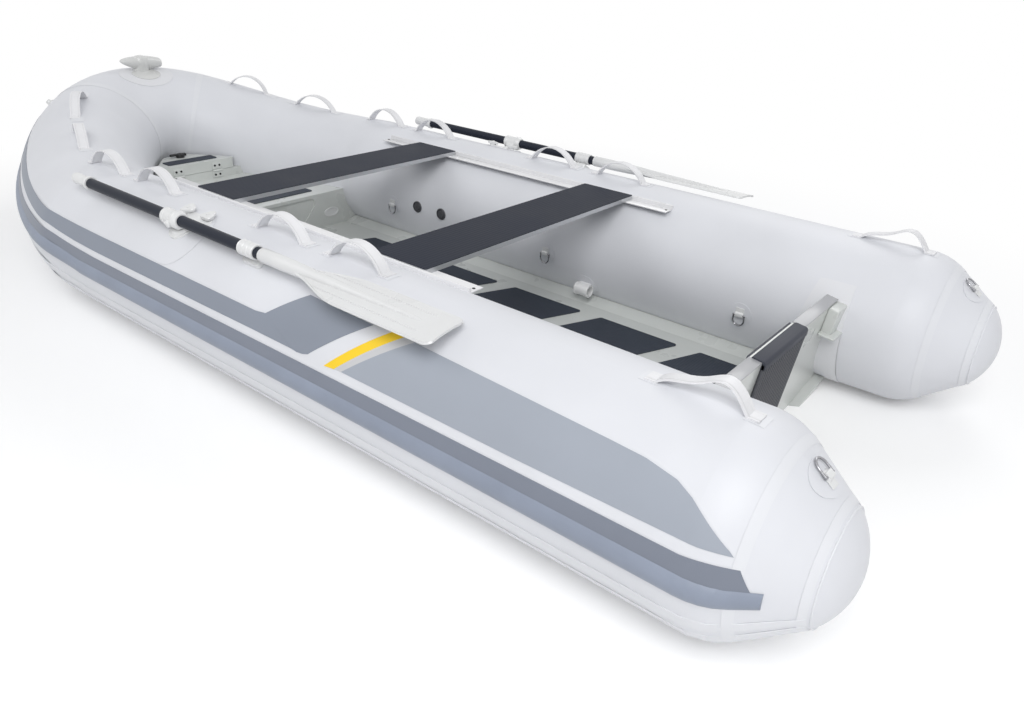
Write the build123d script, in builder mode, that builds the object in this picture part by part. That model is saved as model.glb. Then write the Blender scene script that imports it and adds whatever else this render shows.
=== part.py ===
from build123d import *
import os
from math import asin, atan, cos, degrees, radians, sin, sqrt, tan

# Rigid inflatable tender, twelve-foot class. Millimetres, +X to the bow, +Y to port, +Z up.
# The origin is on the centre plane at the light waterline, under the top of the transom.

# ---------------------------------------------------------------- driving dimensions
seat_gap = 0.3            # bedding gap between a fitting and the curved tube that carries it
strake_gap = 0.9          # bedding of the rub strake

# Tubes
tube_radius = 230.0
tube_axis_y = 612.0       # half the distance between the side tubes' axes
tube_axis_z = 235.0       # height of those axes above the waterline
bow_start_x = 2126.0      # where the straight side tubes begin to turn in
bow_length = 881.0        # from there to the axis at the stem
bow_rise = 160.0          # how far the axis climbs at the stem
bow_seam_angle = 72.0     # seams of the bow chamber, in degrees of the bow curve
cone_start_x = -229.0     # where the stern cones would meet the tubes, unrounded
cone_end_x = -382.0       # the ring seam of the end caps
cone_round = 150.0        # how the inflated fabric rounds that corner
cap_radius = 116.0
cap_bulge = 45.0

# Rub strake, in degrees up from outboard
strake_low = -7.0
strake_high = 5.0
strake_lift = 6.5         # degrees that it climbs round the tube at the bow
strake_thickness = 10.0
strake_turn_x = 1900.0    # the climb begins here
strake_aft_x = -312.0     # its tail, on the cone

# Hull and deck
hull_aft_x = -40.0        # rough end, cut back to the transom's rake
keel_z = -85.0
keel_straight_x = 1700.0  # the keel begins to climb here
keel_end_gap = 97.0       # from the stem's axis aft to the top of the forefoot
chine_angle = -115.0      # where the shell meets the tube, degrees round its section
hull_edge_angle = -130.0  # top of the shell's bonded edge
hull_edge_sink = 15.0     # how deep that edge starts inside the tube, before it is trimmed
hull_top_rise = 40.0      # underside of the deck above the bottom of the tubes
deck_thickness = 10.0
deck_flat_inset = 217.0   # edge of the flat, inboard of the tube's axis
deck_flange_inset = 137.0
deck_flange_rise = 26.0
trim_margin = 40.0        # how far cutting blocks reach past what they cut

# Transom
transom_thickness = 35.0
transom_top_z = 335.0
transom_half_width = 470.0
transom_rake = 8.0        # degrees, the top leaning aft
transom_lip_height = 24.0
transom_lip_depth = 28.0
motor_pad_width = 278.0
outer_pad_height = 275.0
outer_pad_thickness = 10.0
inner_pad_height = 95.0
inner_pad_thickness = 6.0
pad_cap_thickness = 6.0
pad_corner = 8.0
bracket_reach = 75.0      # from the tube's skin inboard
bracket_root = 90.0       # from there back into the tube, before it is trimmed
bracket_height = 82.0
bracket_drop = 12.0
bracket_depth = 45.0

# Bow step and locker
step_lap = 6.0            # of the step aft of where the tubes begin to turn
step_aft_half = 590.0
step_height = 150.0       # above the deck
step_edge = 8.0
step_panel_half_top = 255.0
step_panel_half_low = 175.0
step_panel_top_gap = 14.0
step_panel_low_gap = 38.0
step_panel_depth = 5.0
step_panel_corner = 22.0
locker_length = 402.0     # from the stem's axis aft to the locker's face
locker_height = 183.0     # above the deck
locker_wall = 22.0
locker_depth = 95.0
locker_aft_half = 465.0
locker_fore_half = 255.0
locker_fore_gap = 107.0   # from the stem's axis
locker_well_gap = 287.0
lid_thickness = 44.0
lid_corner = 12.0
lid_fore_gap = 242.0
lid_aft_half = 190.0
lid_fore_half = 62.0
lid_gap = 1.0
hinge_pitch = 180.0
hinge_length = 44.0
hinge_radius = 4.0
hinge_leaf_height = 28.0
hinge_leaf_thickness = 3.0
latch_radius = 17.0
latch_base = 4.0
latch_length = 70.0
latch_width = 22.0
latch_height = 12.0
latch_setback = 30.0
pad_thickness = 3.0
lid_pad_length = 226.0
lid_pad_width = 56.0
lid_pad_setback = 54.0
step_pad_length = 520.0
step_pad_width = 120.0
step_pad_setback = 110.0

# Deck pads
pad_count = 5
pad_fore_x = 1983.0
pad_pitch = 380.0
pad_length = 300.0
pad_slant = 120.0
pad_round = 9.0
pad_end_gap = 14.0        # between the last pad and the transom
pad_inner_y = 35.0
pad_outer_y = 330.0

# Bench rails and benches
rail_aft_x = 595.0
rail_fore_x = 1937.0
rail_inner_inset = 157.0  # inboard of the tube's axis
rail_outer_inset = 104.0
rail_wall = 8.0
rail_rise = 2.1           # web above the skin at the foot of the wall
rail_lip = 13.0           # wall above the web
rail_foot = 38.0          # how far the web starts below the skin, before it is trimmed
bench_gap = 1.0
bench_width = 198.0
bench_thickness = 15.0
bench_corner = 6.0
bench_fore_x = 1764.0     # leading edge of the forward bench
bench_aft_x = 947.0       # leading edge of the after bench

# Oars
oar_angle = 60.0          # where the oar lies round the tube, degrees up from outboard
oar_height = 40.0         # from the tube's skin to the oar's axis
oar_shaft_radius = 16.0
oar_grip_radius = 19.0
oar_grip_x = 2030.0
oar_grip_length = 90.0
oar_pin_x = 1472.0
oar_socket_x = 1072.0
oar_socket_radius = 19.0
oar_blade_root_x = 960.0
oar_blade_tip_x = 440.0
oar_blade_width = 120.0
oar_blade_thickness = 9.0
blade_shoulder = 110.0
blade_shoulder_width = 96.0
blade_full = 190.0        # from the root to the full width
blade_tip_round = 22.0
oar_clamp_radius = 26.0
oar_clamp_length = 76.0
oar_collar_x = 1124.0
oar_collar_length = 62.0
oar_collar_radius = 21.0
oar_pin_radius = 6.0
oar_pin_clearance = 0.05
oar_pin_gap = 1.0         # between the rowlock and the clamp that turns on it
rowlock_radius = 40.0
rowlock_length = 150.0
rowlock_width = 66.0
rowlock_plate = 7.0
rowlock_knob_radius = 17.0
rowlock_knob_height = 15.0
rowlock_knob_inset = 62.0 # round the tube, from the pin
rowlock_plate_turn = 6.0  # degrees from the knobs back toward the pin
rowlock_knob_x = 1472.0
rowlock_knob_pitch = 96.0
rest_x = 1127.0
rest_length = 66.0
rest_width = 44.0
rest_height = 12.0

# Grab handles
handle_width = 35.0
handle_thickness = 3.0
handle_foot = 22.0
handle_heel = 4.0
handle_length = 235.0
handle_height = 56.0
bow_handle_length = 212.0
bow_handle_height = 54.0
stern_handle_height = 49.0
handle_fore_x = 2084.0
handle_locker_x = 1792.0
handle_mid_x = 1172.0
handle_after_x = 870.0
handle_stern_x = -80.0

# Rings, valves, pole sockets and bow cleat
ring_radius = 18.0
ring_wire = 2.5
ring_drop = 17.0          # straight legs of the D, below its tab
ring_tab_width = 30.0
ring_tab_height = 18.0
ring_tab_thickness = 8.0
ring_patch_radius = 38.0
ring_angle = 188.0
ring_fore_x = 1806.0
ring_mid_x = 1014.0
ring_aft_x = 257.0
cone_ring_x = -322.0
cone_ring_angle = 95.0    # round the cone, up from outboard
patch_thickness = 2.0
valve_radius = 23.0
valve_height = 7.0
valve_angle = 182.0
valve_fore_x = 1663.0
valve_after_x = 1532.0
socket_radius = 24.0
socket_bore = 17.0
socket_length = 58.0
socket_end = 6.0
socket_x = 846.0
socket_angle = 210.0
socket_patch_radius = 40.0
cleat_angle = 101.0       # round the stem's section, leaning aft
cleat_patch_angle = 111.0
cleat_patch_across = 96.0
cleat_patch_along = 80.0
cleat_post_across = 36.0
cleat_post_along = 29.0
cleat_post_height = 30.0
cleat_post_sink = 12.0    # how far the post starts below the skin, before it is trimmed
cleat_horn_length = 172.0
cleat_horn_width = 34.0
cleat_horn_height = 28.0
cleat_horn_round = 10.0

# ---------------------------------------------------------------- what follows from them
stem_x = bow_start_x + bow_length
hull_top_z = tube_axis_z - tube_radius + hull_top_rise
deck_z = hull_top_z + deck_thickness
keel_end_x = stem_x - keel_end_gap
keel_end_z = tube_axis_z + bow_rise - tube_radius
deck_flat_y = tube_axis_y - deck_flat_inset
deck_flange_y = tube_axis_y - deck_flange_inset
step_aft_x = bow_start_x - step_lap
locker_aft_x = stem_x - locker_length
lid_fore_x = stem_x - lid_fore_gap


# ---------------------------------------------------------------- the tubes' axis
def bow_axis(angle):
    """Point on the port half of the bow curve: 0 degrees at its start, 90 at the stem."""
    x = bow_start_x + bow_length * sin(radians(angle)) ** 1.54
    y = tube_axis_y * cos(radians(angle)) ** 0.94
    climb = (x - bow_start_x) / bow_length
    return Vector(x, y, tube_axis_z + bow_rise * climb**2.54)


def bow_frame(angle):
    """Section plane across the bow tube: its x points outboard and its y up."""
    if angle < 1:
        along = Vector(1, 0, 0)
    elif angle > 89:
        along = Vector(0, -1, 0)
    else:
        along = (bow_axis(angle + 0.5) - bow_axis(angle - 0.5)).normalized()
    outboard = Vector(0, 0, 1).cross(along).normalized()
    return Plane(origin=bow_axis(angle), x_dir=outboard, z_dir=along)


def straight_frame(x):
    """Section plane across the straight port tube."""
    return Plane(origin=(x, tube_axis_y, tube_axis_z), x_dir=(0, 1, 0), z_dir=(1, 0, 0))


def starboard(piece):
    """The same piece on the other side of the centre plane."""
    return mirror(piece, about=Plane.XZ)


def tube_skin_y(z):
    """Inboard face of the straight port tube at one height."""
    return tube_axis_y - sqrt(tube_radius**2 - (z - tube_axis_z) ** 2)


def tube_skin_z(inset):
    """Top of the straight port tube at one distance inboard of its axis."""
    return tube_axis_z + sqrt(tube_radius**2 - inset**2)


cone_slope = atan((tube_radius - cap_radius) / (cone_start_x - cone_end_x))
round_reach = cone_round * tan(cone_slope / 2)
round_fore_x = cone_start_x + round_reach
round_aft_x = cone_start_x - round_reach * cos(cone_slope)


def cone_radius(x):
    """Radius of the port tube's after end at one station, its rounded corner included."""
    if x > round_fore_x:
        return tube_radius
    if x > round_aft_x:
        return tube_radius - cone_round + sqrt(cone_round**2 - (round_fore_x - x) ** 2)
    return tube_radius - (cone_start_x - x) * tan(cone_slope)


axis_origin = (0, tube_axis_y, tube_axis_z)
side_plane = Plane(origin=axis_origin, x_dir=(1, 0, 0), z_dir=(0, -1, 0))
side_axis = Axis(axis_origin, (1, 0, 0))


def side_tube(grow):
    """Straight port tube with its stern cone and domed cap, turned about its axis."""
    radius = tube_radius + grow
    turn = cone_round + grow
    turn_centre = tube_radius - cone_round
    rim_x = cone_end_x - grow * sin(cone_slope)
    rim = cap_radius + grow * cos(cone_slope)
    cap_x = cone_end_x - cap_bulge - grow
    bulge = rim_x - cap_x
    dome = (rim**2 + bulge**2) / (2 * bulge)
    half_angle = asin(rim / dome) / 2
    with BuildPart() as tube:
        with BuildSketch(side_plane):
            with BuildLine():
                Polyline(
                    (cap_x, 0),
                    (bow_start_x, 0),
                    (bow_start_x, radius),
                    (round_fore_x, radius),
                )
                ThreePointArc(
                    (round_fore_x, radius),
                    (
                        round_fore_x - turn * sin(cone_slope / 2),
                        turn_centre + turn * cos(cone_slope / 2),
                    ),
                    (
                        round_fore_x - turn * sin(cone_slope),
                        turn_centre + turn * cos(cone_slope),
                    ),
                )
                Line(
                    (
                        round_fore_x - turn * sin(cone_slope),
                        turn_centre + turn * cos(cone_slope),
                    ),
                    (rim_x, rim),
                )
                ThreePointArc(
                    (rim_x, rim),
                    (cap_x + dome * (1 - cos(half_angle)), dome * sin(half_angle)),
                    (cap_x, 0),
                )
            make_face()
        revolve(axis=side_axis)
    return tube.part


def bow_chamber(angles, grow):
    """Port part of the bow tube, lofted through rings across its axis."""
    with BuildPart() as tube:
        for angle in angles:
            with BuildSketch(bow_frame(angle)):
                Circle(tube_radius + grow)
        loft()
    return tube.part


quarter_rings = [0, 18, 34, 48, 60, bow_seam_angle]
nose_rings = [bow_seam_angle, 78, 84, 90]


def nose_chamber(grow):
    """Bow chamber between its two seams, made as a half and its mirror image."""
    half = bow_chamber(nose_rings, grow)
    with BuildPart() as tube:
        add(half)
        mirror(about=Plane.XZ)
    return tube.part


tube_port = side_tube(0)
bow_tube_port = bow_chamber(quarter_rings, 0)
bow_tube_nose = nose_chamber(0)
pieces = {
    "tube_port": tube_port,
    "tube_starboard": starboard(tube_port),
    "bow_tube_port": bow_tube_port,
    "bow_tube_starboard": starboard(bow_tube_port),
    "bow_tube_nose": bow_tube_nose,
}
# The room the tubes and their bedding take out of whatever lies against them.
tube_room_side = side_tube(seat_gap)
tube_room_bow = bow_chamber(quarter_rings, seat_gap)
tube_room_nose = nose_chamber(seat_gap)
side_rooms = [tube_room_side, starboard(tube_room_side)]
bow_rooms = [tube_room_bow, starboard(tube_room_bow), tube_room_nose]
tube_room = side_rooms + bow_rooms


# ---------------------------------------------------------------- rub strakes
def strake_section(skin):
    """Crown-backed section for a tube of one radius."""
    crown = skin + strake_thickness
    middle = radians((strake_low + strake_high) / 2)
    low = (skin * cos(radians(strake_low)), skin * sin(radians(strake_low)))
    high = (skin * cos(radians(strake_high)), skin * sin(radians(strake_high)))
    with BuildSketch() as section:
        with BuildLine():
            RadiusArc(high, low, skin)
            ThreePointArc(low, (crown * cos(middle), crown * sin(middle)), high)
        make_face()
    return section.sketch


def lifted(frame, share):
    """A section plane turned by a share of the strake's climb at the bow."""
    turn = radians(strake_lift * share)
    return Plane(
        origin=frame.origin,
        x_dir=frame.x_dir * cos(turn) + frame.y_dir * sin(turn),
        z_dir=frame.z_dir,
    )


side_section = strake_section(tube_radius + strake_gap)
# The tail follows the rounded corner and the cone, ring by ring.
tail_step = (round_fore_x - round_aft_x) / 4
tail_rings = [strake_aft_x] + [round_aft_x + tail_step * row for row in range(5)]
with BuildPart() as strake_tail:
    for x in tail_rings:
        with BuildSketch(straight_frame(x)):
            add(strake_section(cone_radius(x) + strake_gap))
    loft(ruled=True)
    add(side_tube(seat_gap), mode=Mode.SUBTRACT)

with BuildPart() as strake_side:
    with BuildSketch(straight_frame(round_fore_x)):
        add(side_section)
    extrude(amount=strake_turn_x - round_fore_x)

# Rings of the climbing length: plane and share of the climb.
climb_rows = [(straight_frame(strake_turn_x), 0.0), (bow_frame(0), 0.6), (bow_frame(18), 0.9)]
climb_rows += [(bow_frame(angle), 1.0) for angle in quarter_rings[2:] + nose_rings[1:]]
with BuildPart() as strake_bow:
    for frame, share in climb_rows:
        with BuildSketch(lifted(frame, share)):
            add(side_section)
    loft()

strake_port = Compound(children=[strake_tail.part, strake_side.part, strake_bow.part])
pieces["strake_port"] = strake_port
pieces["strake_starboard"] = starboard(strake_port)


# ---------------------------------------------------------------- hull and deck
rake_shift = tan(radians(transom_rake))


def transom_face_x(z):
    """Forward face of the raked transom at one height."""
    return transom_thickness / 2 + (transom_top_z - z) * rake_shift


def keel_at(x):
    """Height of the keel line at one station."""
    if x < keel_straight_x:
        return keel_z
    climb = (x - keel_straight_x) / (keel_end_x - keel_straight_x)
    return keel_z + (keel_end_z - keel_z) * climb**2.3


def ring_point(frame, angle, radius=tube_radius):
    """Point on a ring of the port tube, in degrees up from outboard."""
    turn = radians(angle)
    return frame.from_local_coords(Vector(radius * cos(turn), radius * sin(turn), 0))


whole_beam = 2 * (tube_axis_y + tube_radius)
side_view = Plane.XZ.offset(-whole_beam / 2)
trim_x = hull_aft_x - trim_margin


def aft_of_rake(low, high):
    """Block aft of the transom's forward face, between two heights."""
    with BuildPart() as block:
        with BuildSketch(side_view):
            with BuildLine():
                Polyline(
                    (trim_x, low),
                    (transom_face_x(low), low),
                    (transom_face_x(high), high),
                    (trim_x, high),
                    close=True,
                )
            make_face()
        extrude(amount=whole_beam)
    return block.part


# Each section: a station, its keel, the chine on the tube's underside, the bonded edge inside
# the tube's skin, and the edge of the flat.
hull_frames = [straight_frame(hull_aft_x), straight_frame(keel_straight_x)]
hull_frames += [bow_frame(angle) for angle in (0, 20, 36, 50, 62, 74, 85)]
side_chine = ring_point(straight_frame(0), chine_angle)
with BuildPart() as hull_shell:
    for frame in hull_frames:
        chine = ring_point(frame, chine_angle)
        edge = ring_point(frame, hull_edge_angle, tube_radius - hull_edge_sink)
        flat_y = chine.Y * deck_flat_y / side_chine.Y
        flat_z = chine.Z + hull_top_z - side_chine.Z
        with BuildSketch(Plane(origin=(chine.X, 0, 0), x_dir=(0, 1, 0), z_dir=(1, 0, 0))):
            with BuildLine():
                Polyline(
                    (0, keel_at(chine.X)),
                    (chine.Y, chine.Z),
                    (edge.Y, edge.Z),
                    (flat_y, flat_z),
                    (0, flat_z),
                )
                mirror(about=Plane.YZ)
            make_face()
    loft(ruled=True)
    add(aft_of_rake(keel_z - trim_margin, hull_top_z + trim_margin), mode=Mode.SUBTRACT)
    for room in tube_room:
        add(room, mode=Mode.SUBTRACT)
pieces["hull_shell"] = hull_shell.part

with BuildPart() as deck:
    with BuildSketch(Plane(origin=(hull_aft_x, 0, 0), x_dir=(0, 1, 0), z_dir=(1, 0, 0))):
        with BuildLine():
            Polyline(
                (0, hull_top_z),
                (deck_flat_y, hull_top_z),
                (deck_flange_y, hull_top_z + deck_flange_rise),
                (deck_flange_y, deck_z + deck_flange_rise),
                (deck_flat_y, deck_z),
                (0, deck_z),
            )
            mirror(about=Plane.YZ)
        make_face()
    extrude(amount=step_aft_x - hull_aft_x)
    add(aft_of_rake(hull_top_z - trim_margin, deck_z + 2 * trim_margin), mode=Mode.SUBTRACT)
    for room in side_rooms:
        add(room, mode=Mode.SUBTRACT)
pieces["deck"] = deck.part


# ---------------------------------------------------------------- transom
def rake_plane(offset):
    """Plane of the transom: x to starboard, y up the rake, offset aft from its forward face."""
    lean = radians(transom_rake)
    normal = Vector(-cos(lean), 0, -sin(lean))
    foot = Vector(transom_face_x(0), 0, 0) + normal * offset
    return Plane(origin=foot, x_dir=(0, -1, 0), z_dir=normal)


def up_rake(z):
    """Distance up the raked face that reaches a height."""
    return z / cos(radians(transom_rake))


chine_y = side_chine.Y
chine_up = up_rake(side_chine.Z)
with BuildPart() as transom:
    with BuildSketch(rake_plane(0)):
        with BuildLine():
            Polyline(
                (0, up_rake(keel_z)),
                (chine_y, chine_up),
                (transom_half_width, up_rake(transom_top_z)),
                (0, up_rake(transom_top_z)),
            )
            mirror(about=Plane.YZ)
        make_face()
    extrude(amount=transom_thickness)
    # the lip that the hull's skin leaves along the bottom edge
    with BuildSketch(rake_plane(transom_thickness)):
        with BuildLine():
            Polyline(
                (0, up_rake(keel_z)),
                (chine_y, chine_up),
                (chine_y, chine_up + transom_lip_height),
                (0, up_rake(keel_z) + transom_lip_height),
            )
            mirror(about=Plane.YZ)
        make_face()
    extrude(amount=transom_lip_depth)
    for room in side_rooms:
        add(room, mode=Mode.SUBTRACT)
pieces["transom"] = transom.part

pad_top = up_rake(transom_top_z)
with BuildPart() as motor_pad_outer:
    with BuildSketch(rake_plane(transom_thickness)):
        with Locations((0, pad_top - outer_pad_height / 2)):
            RectangleRounded(motor_pad_width, outer_pad_height, pad_corner)
    extrude(amount=outer_pad_thickness)
    with BuildSketch(rake_plane(0)):
        with Locations((0, pad_top + pad_cap_thickness / 2)):
            Rectangle(motor_pad_width, pad_cap_thickness)
    extrude(amount=transom_thickness + outer_pad_thickness)
pieces["motor_pad_outer"] = motor_pad_outer.part

with BuildPart() as motor_pad_inner:
    with BuildSketch(rake_plane(0)):
        with Locations((0, pad_top - inner_pad_height / 2)):
            RectangleRounded(motor_pad_width, inner_pad_height, pad_corner)
    extrude(amount=-inner_pad_thickness)
pieces["motor_pad_inner"] = motor_pad_inner.part

# A moulded knee on each end of the transom's aft face, glued to the tube.
knee_skin_y = tube_skin_y(transom_top_z - bracket_drop - bracket_height / 2)
knee_top = pad_top - bracket_drop
with BuildPart() as transom_knee:
    with BuildSketch(rake_plane(transom_thickness)):
        with BuildLine():
            Polyline(
                (-knee_skin_y - bracket_root, knee_top),
                (-knee_skin_y + bracket_reach, knee_top),
                (-knee_skin_y + bracket_reach, knee_top - bracket_height),
                (-knee_skin_y - bracket_root, knee_top - bracket_height),
                close=True,
            )
        make_face()
    extrude(amount=bracket_depth)
    add(tube_room_side, mode=Mode.SUBTRACT)
pieces["transom_knees"] = Compound(children=[transom_knee.part, starboard(transom_knee.part)])


# ---------------------------------------------------------------- bow step and locker
step_z = deck_z + step_height
locker_z = deck_z + locker_height
lid_z = locker_z + lid_gap
lid_top = lid_z + lid_thickness


def tapered_block(aft_x, aft_half, fore_x, fore_half, low, high):
    """Upright block between two stations, narrowing forward."""
    with BuildPart() as block:
        with BuildSketch(Plane.XY.offset(low)):
            with BuildLine():
                Polyline(
                    (aft_x, -aft_half),
                    (aft_x, aft_half),
                    (fore_x, fore_half),
                    (fore_x, -fore_half),
                    close=True,
                )
            make_face()
        extrude(amount=high - low)
    return block.part


def between_tubes(block):
    """What the shell and the tubes leave of a block, above the shell."""
    with BuildPart() as cut:
        add(block)
        add(hull_shell.part, mode=Mode.SUBTRACT)
        for room in tube_room:
            add(room, mode=Mode.SUBTRACT)
    return cut.solids().sort_by(Axis.Z)[-1]


step_block = tapered_block(
    step_aft_x, step_aft_half, locker_aft_x, locker_aft_half, hull_top_z, step_z
)
with BuildPart() as bow_step:
    add(between_tubes(step_block))
    # the panel sunk in its after face
    with BuildSketch(Plane(origin=(step_aft_x, 0, 0), x_dir=(0, 1, 0), z_dir=(1, 0, 0))) as panel:
        with BuildLine():
            Polyline(
                (-step_panel_half_low, deck_z + step_panel_low_gap),
                (step_panel_half_low, deck_z + step_panel_low_gap),
                (step_panel_half_top, step_z - step_panel_top_gap),
                (-step_panel_half_top, step_z - step_panel_top_gap),
                close=True,
            )
        make_face()
        fillet(panel.vertices(), step_panel_corner)
    extrude(amount=step_panel_depth, mode=Mode.SUBTRACT)
pieces["bow_step"] = bow_step.part

locker_block = tapered_block(
    locker_aft_x, locker_aft_half, stem_x - locker_fore_gap, locker_fore_half, hull_top_z, locker_z
)
locker_well = tapered_block(
    locker_aft_x + locker_wall,
    lid_aft_half - locker_wall,
    stem_x - locker_well_gap,
    lid_fore_half - locker_wall / 2,
    locker_z - locker_depth,
    lid_z,
)
with BuildPart() as locker_body:
    add(between_tubes(locker_block))
    add(locker_well, mode=Mode.SUBTRACT)
pieces["locker_body"] = locker_body.part

with BuildPart() as locker_lid:
    add(tapered_block(locker_aft_x, lid_aft_half, lid_fore_x, lid_fore_half, lid_z, lid_top))
    fillet(locker_lid.edges().filter_by(Axis.Z), lid_corner)
pieces["locker_lid"] = locker_lid.part

hinge_x = locker_aft_x - seat_gap
hinge_z = lid_z - hinge_radius / 2
with BuildPart() as locker_hinges:
    with BuildSketch(Plane.XZ.offset(-(hinge_pitch + hinge_length) / 2)):
        with Locations((hinge_x - hinge_radius, hinge_z)):
            Circle(hinge_radius)
        with Locations((hinge_x - hinge_leaf_thickness / 2, hinge_z - hinge_leaf_height / 2)):
            Rectangle(hinge_leaf_thickness, hinge_leaf_height)
    extrude(amount=hinge_length)
    mirror(about=Plane.XZ)
pieces["locker_hinges"] = locker_hinges.part

with BuildPart() as lid_latch:
    with BuildSketch(Plane.XY.offset(lid_top)):
        with Locations((lid_fore_x - latch_setback, 0)):
            Circle(latch_radius)
    extrude(amount=latch_base)
    with BuildSketch(Plane.XY.offset(lid_top + latch_base)):
        with Locations((lid_fore_x - latch_setback, 0)):
            RectangleRounded(latch_width, latch_length, pad_corner)
    extrude(amount=latch_height)
pieces["lid_latch"] = lid_latch.part

# Tread pads: name, height they lie on, middle, length across and width.
tread_rows = [
    ("lid_pad", lid_top, locker_aft_x + lid_pad_setback, lid_pad_length, lid_pad_width),
    ("step_pad", step_z, step_aft_x + step_pad_setback, step_pad_length, step_pad_width),
]
for name, bed_z, middle_x, across, along in tread_rows:
    with BuildPart() as tread:
        with BuildSketch(Plane.XY.offset(bed_z)):
            with Locations((middle_x, 0)):
                RectangleRounded(along, across, pad_corner)
        extrude(amount=pad_thickness)
    pieces[name] = tread.part

# Deck pads: slanted panels, each row leading from the centre out and aft.
with BuildPart() as deck_pads:
    with BuildSketch(Plane.XY.offset(deck_z)) as pad_sketch:
        for row in range(pad_count):
            fore = pad_fore_x - row * pad_pitch
            with BuildLine():
                Polyline(
                    (fore, pad_inner_y),
                    (fore - pad_slant, pad_outer_y),
                    (fore - pad_slant - pad_length, pad_outer_y),
                    (fore - pad_length, pad_inner_y),
                    close=True,
                )
            make_face()
        with Locations((transom_face_x(deck_z) + pad_end_gap - pad_pitch / 2, pad_outer_y)):
            Rectangle(pad_pitch, 2 * pad_outer_y, mode=Mode.SUBTRACT)
        fillet(pad_sketch.vertices(), pad_round)
        mirror(about=Plane.XZ)
    extrude(amount=pad_thickness)
pieces["deck_pads"] = deck_pads.part


# ---------------------------------------------------------------- bench rails and benches
rail_inner_y = tube_axis_y - rail_inner_inset
rail_outer_y = tube_axis_y - rail_outer_inset
rail_floor_z = tube_skin_z(rail_outer_inset + rail_wall) + rail_rise
rail_top_z = rail_floor_z + rail_lip
rail_foot_z = tube_skin_z(rail_inner_inset) - rail_foot
with BuildPart() as rail_port:
    with BuildSketch(Plane(origin=(rail_aft_x, 0, 0), x_dir=(0, 1, 0), z_dir=(1, 0, 0))):
        with BuildLine():
            Polyline(
                (rail_inner_y, rail_floor_z),
                (rail_outer_y - rail_wall, rail_floor_z),
                (rail_outer_y - rail_wall, rail_top_z),
                (rail_outer_y, rail_top_z),
                (rail_outer_y, rail_foot_z),
                (rail_inner_y, rail_foot_z),
                close=True,
            )
        make_face()
    extrude(amount=rail_fore_x - rail_aft_x)
    add(tube_room_side, mode=Mode.SUBTRACT)
pieces["rail_port"] = rail_port.part
pieces["rail_starboard"] = starboard(rail_port.part)

bench_half_length = rail_outer_y - rail_wall - bench_gap
for name, leading_x in (("bench_fore", bench_fore_x), ("bench_aft", bench_aft_x)):
    with BuildPart() as bench:
        with BuildSketch(Plane.XY.offset(rail_floor_z + seat_gap)):
            with Locations((leading_x - bench_width / 2, 0)):
                Rectangle(bench_width, 2 * bench_half_length)
        extrude(amount=bench_thickness)
        fillet(bench.edges().filter_by(Axis.Z), bench_corner)
    pieces[name] = bench.part


# ---------------------------------------------------------------- grab handles
# Shapes of the webbing: share of the half span from the middle forward, share of the height.
arched = [(-1, 0), (-0.78, 0.46), (-0.42, 0.86), (0, 1), (0.42, 0.86), (0.78, 0.46), (1, 0)]
slack = [
    (-1, 0),
    (-0.87, 0.37),
    (-0.70, 0.76),
    (-0.47, 1),
    (-0.25, 0.93),
    (0.03, 0.66),
    (0.33, 0.46),
    (0.66, 0.32),
    (1, 0),
]


def handle(frame, length, height, shape):
    """Webbing loop on top of the tube: two glued feet and a strap of one shape."""
    half = length / 2
    span = half - handle_foot - handle_heel
    base = tube_radius + seat_gap
    top = base + handle_thickness
    low_side = [(share * span, base + rise * height) for share, rise in shape]
    high_side = [(share * (half - handle_foot), top + rise * height) for share, rise in shape]
    strap = Plane(origin=frame.origin, x_dir=frame.z_dir, z_dir=-frame.x_dir)
    with BuildPart() as loop:
        with BuildSketch(strap):
            with BuildLine():
                Spline(low_side)
                Spline(high_side)
                Polyline((span, base), (half, base), (half, top), (half - handle_foot, top))
                Polyline((-span, base), (-half, base), (-half, top), (handle_foot - half, top))
            make_face()
        extrude(amount=handle_width / 2, both=True)
        add(tube_room_bow, mode=Mode.SUBTRACT)
    return loop.part


# Stations: name, section plane, length over the feet, height and shape of the strap.
handle_rows = [
    ("handles_bow", bow_frame(56.5), bow_handle_length, bow_handle_height, arched),
    ("handles_shoulder", bow_frame(33.5), handle_length, bow_handle_height, arched),
    ("handles_fore", straight_frame(handle_fore_x), handle_length, handle_height, arched),
    ("handles_locker", straight_frame(handle_locker_x), handle_length, handle_height, arched),
    ("handles_mid", straight_frame(handle_mid_x), handle_length, handle_height, arched),
    ("handles_after", straight_frame(handle_after_x), handle_length, handle_height, arched),
    ("handles_stern", straight_frame(handle_stern_x), handle_length, stern_handle_height, slack),
]
for name, frame, length, height, shape in handle_rows:
    loop = handle(frame, length, height, shape)
    pieces[name] = Compound(children=[loop, starboard(loop)])


# ---------------------------------------------------------------- fittings on the tubes
def tube_point(x, angle, radius):
    """Point and outward normal on the port tube; the angle is up from outboard."""
    normal = Vector(0, cos(radians(angle)), sin(radians(angle)))
    return Vector(x, tube_axis_y, tube_axis_z) + normal * radius, normal


side_patches = side_tube(seat_gap + patch_thickness)


def skin_fall(half):
    """How far the tube's skin falls away at one distance from a fitting's middle."""
    return tube_radius - sqrt(tube_radius**2 - half**2)


def patch_shell(plane, radius):
    """Round patch glued to the side tube's skin, at the foot of a plane that looks outward."""
    with BuildPart() as patch:
        with BuildSketch(plane):
            Circle(radius)
        extrude(amount=skin_fall(radius) + 2 * patch_thickness, both=True)
        add(side_patches, mode=Mode.INTERSECT)
        add(tube_room_side, mode=Mode.SUBTRACT)
    return patch.part


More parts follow.
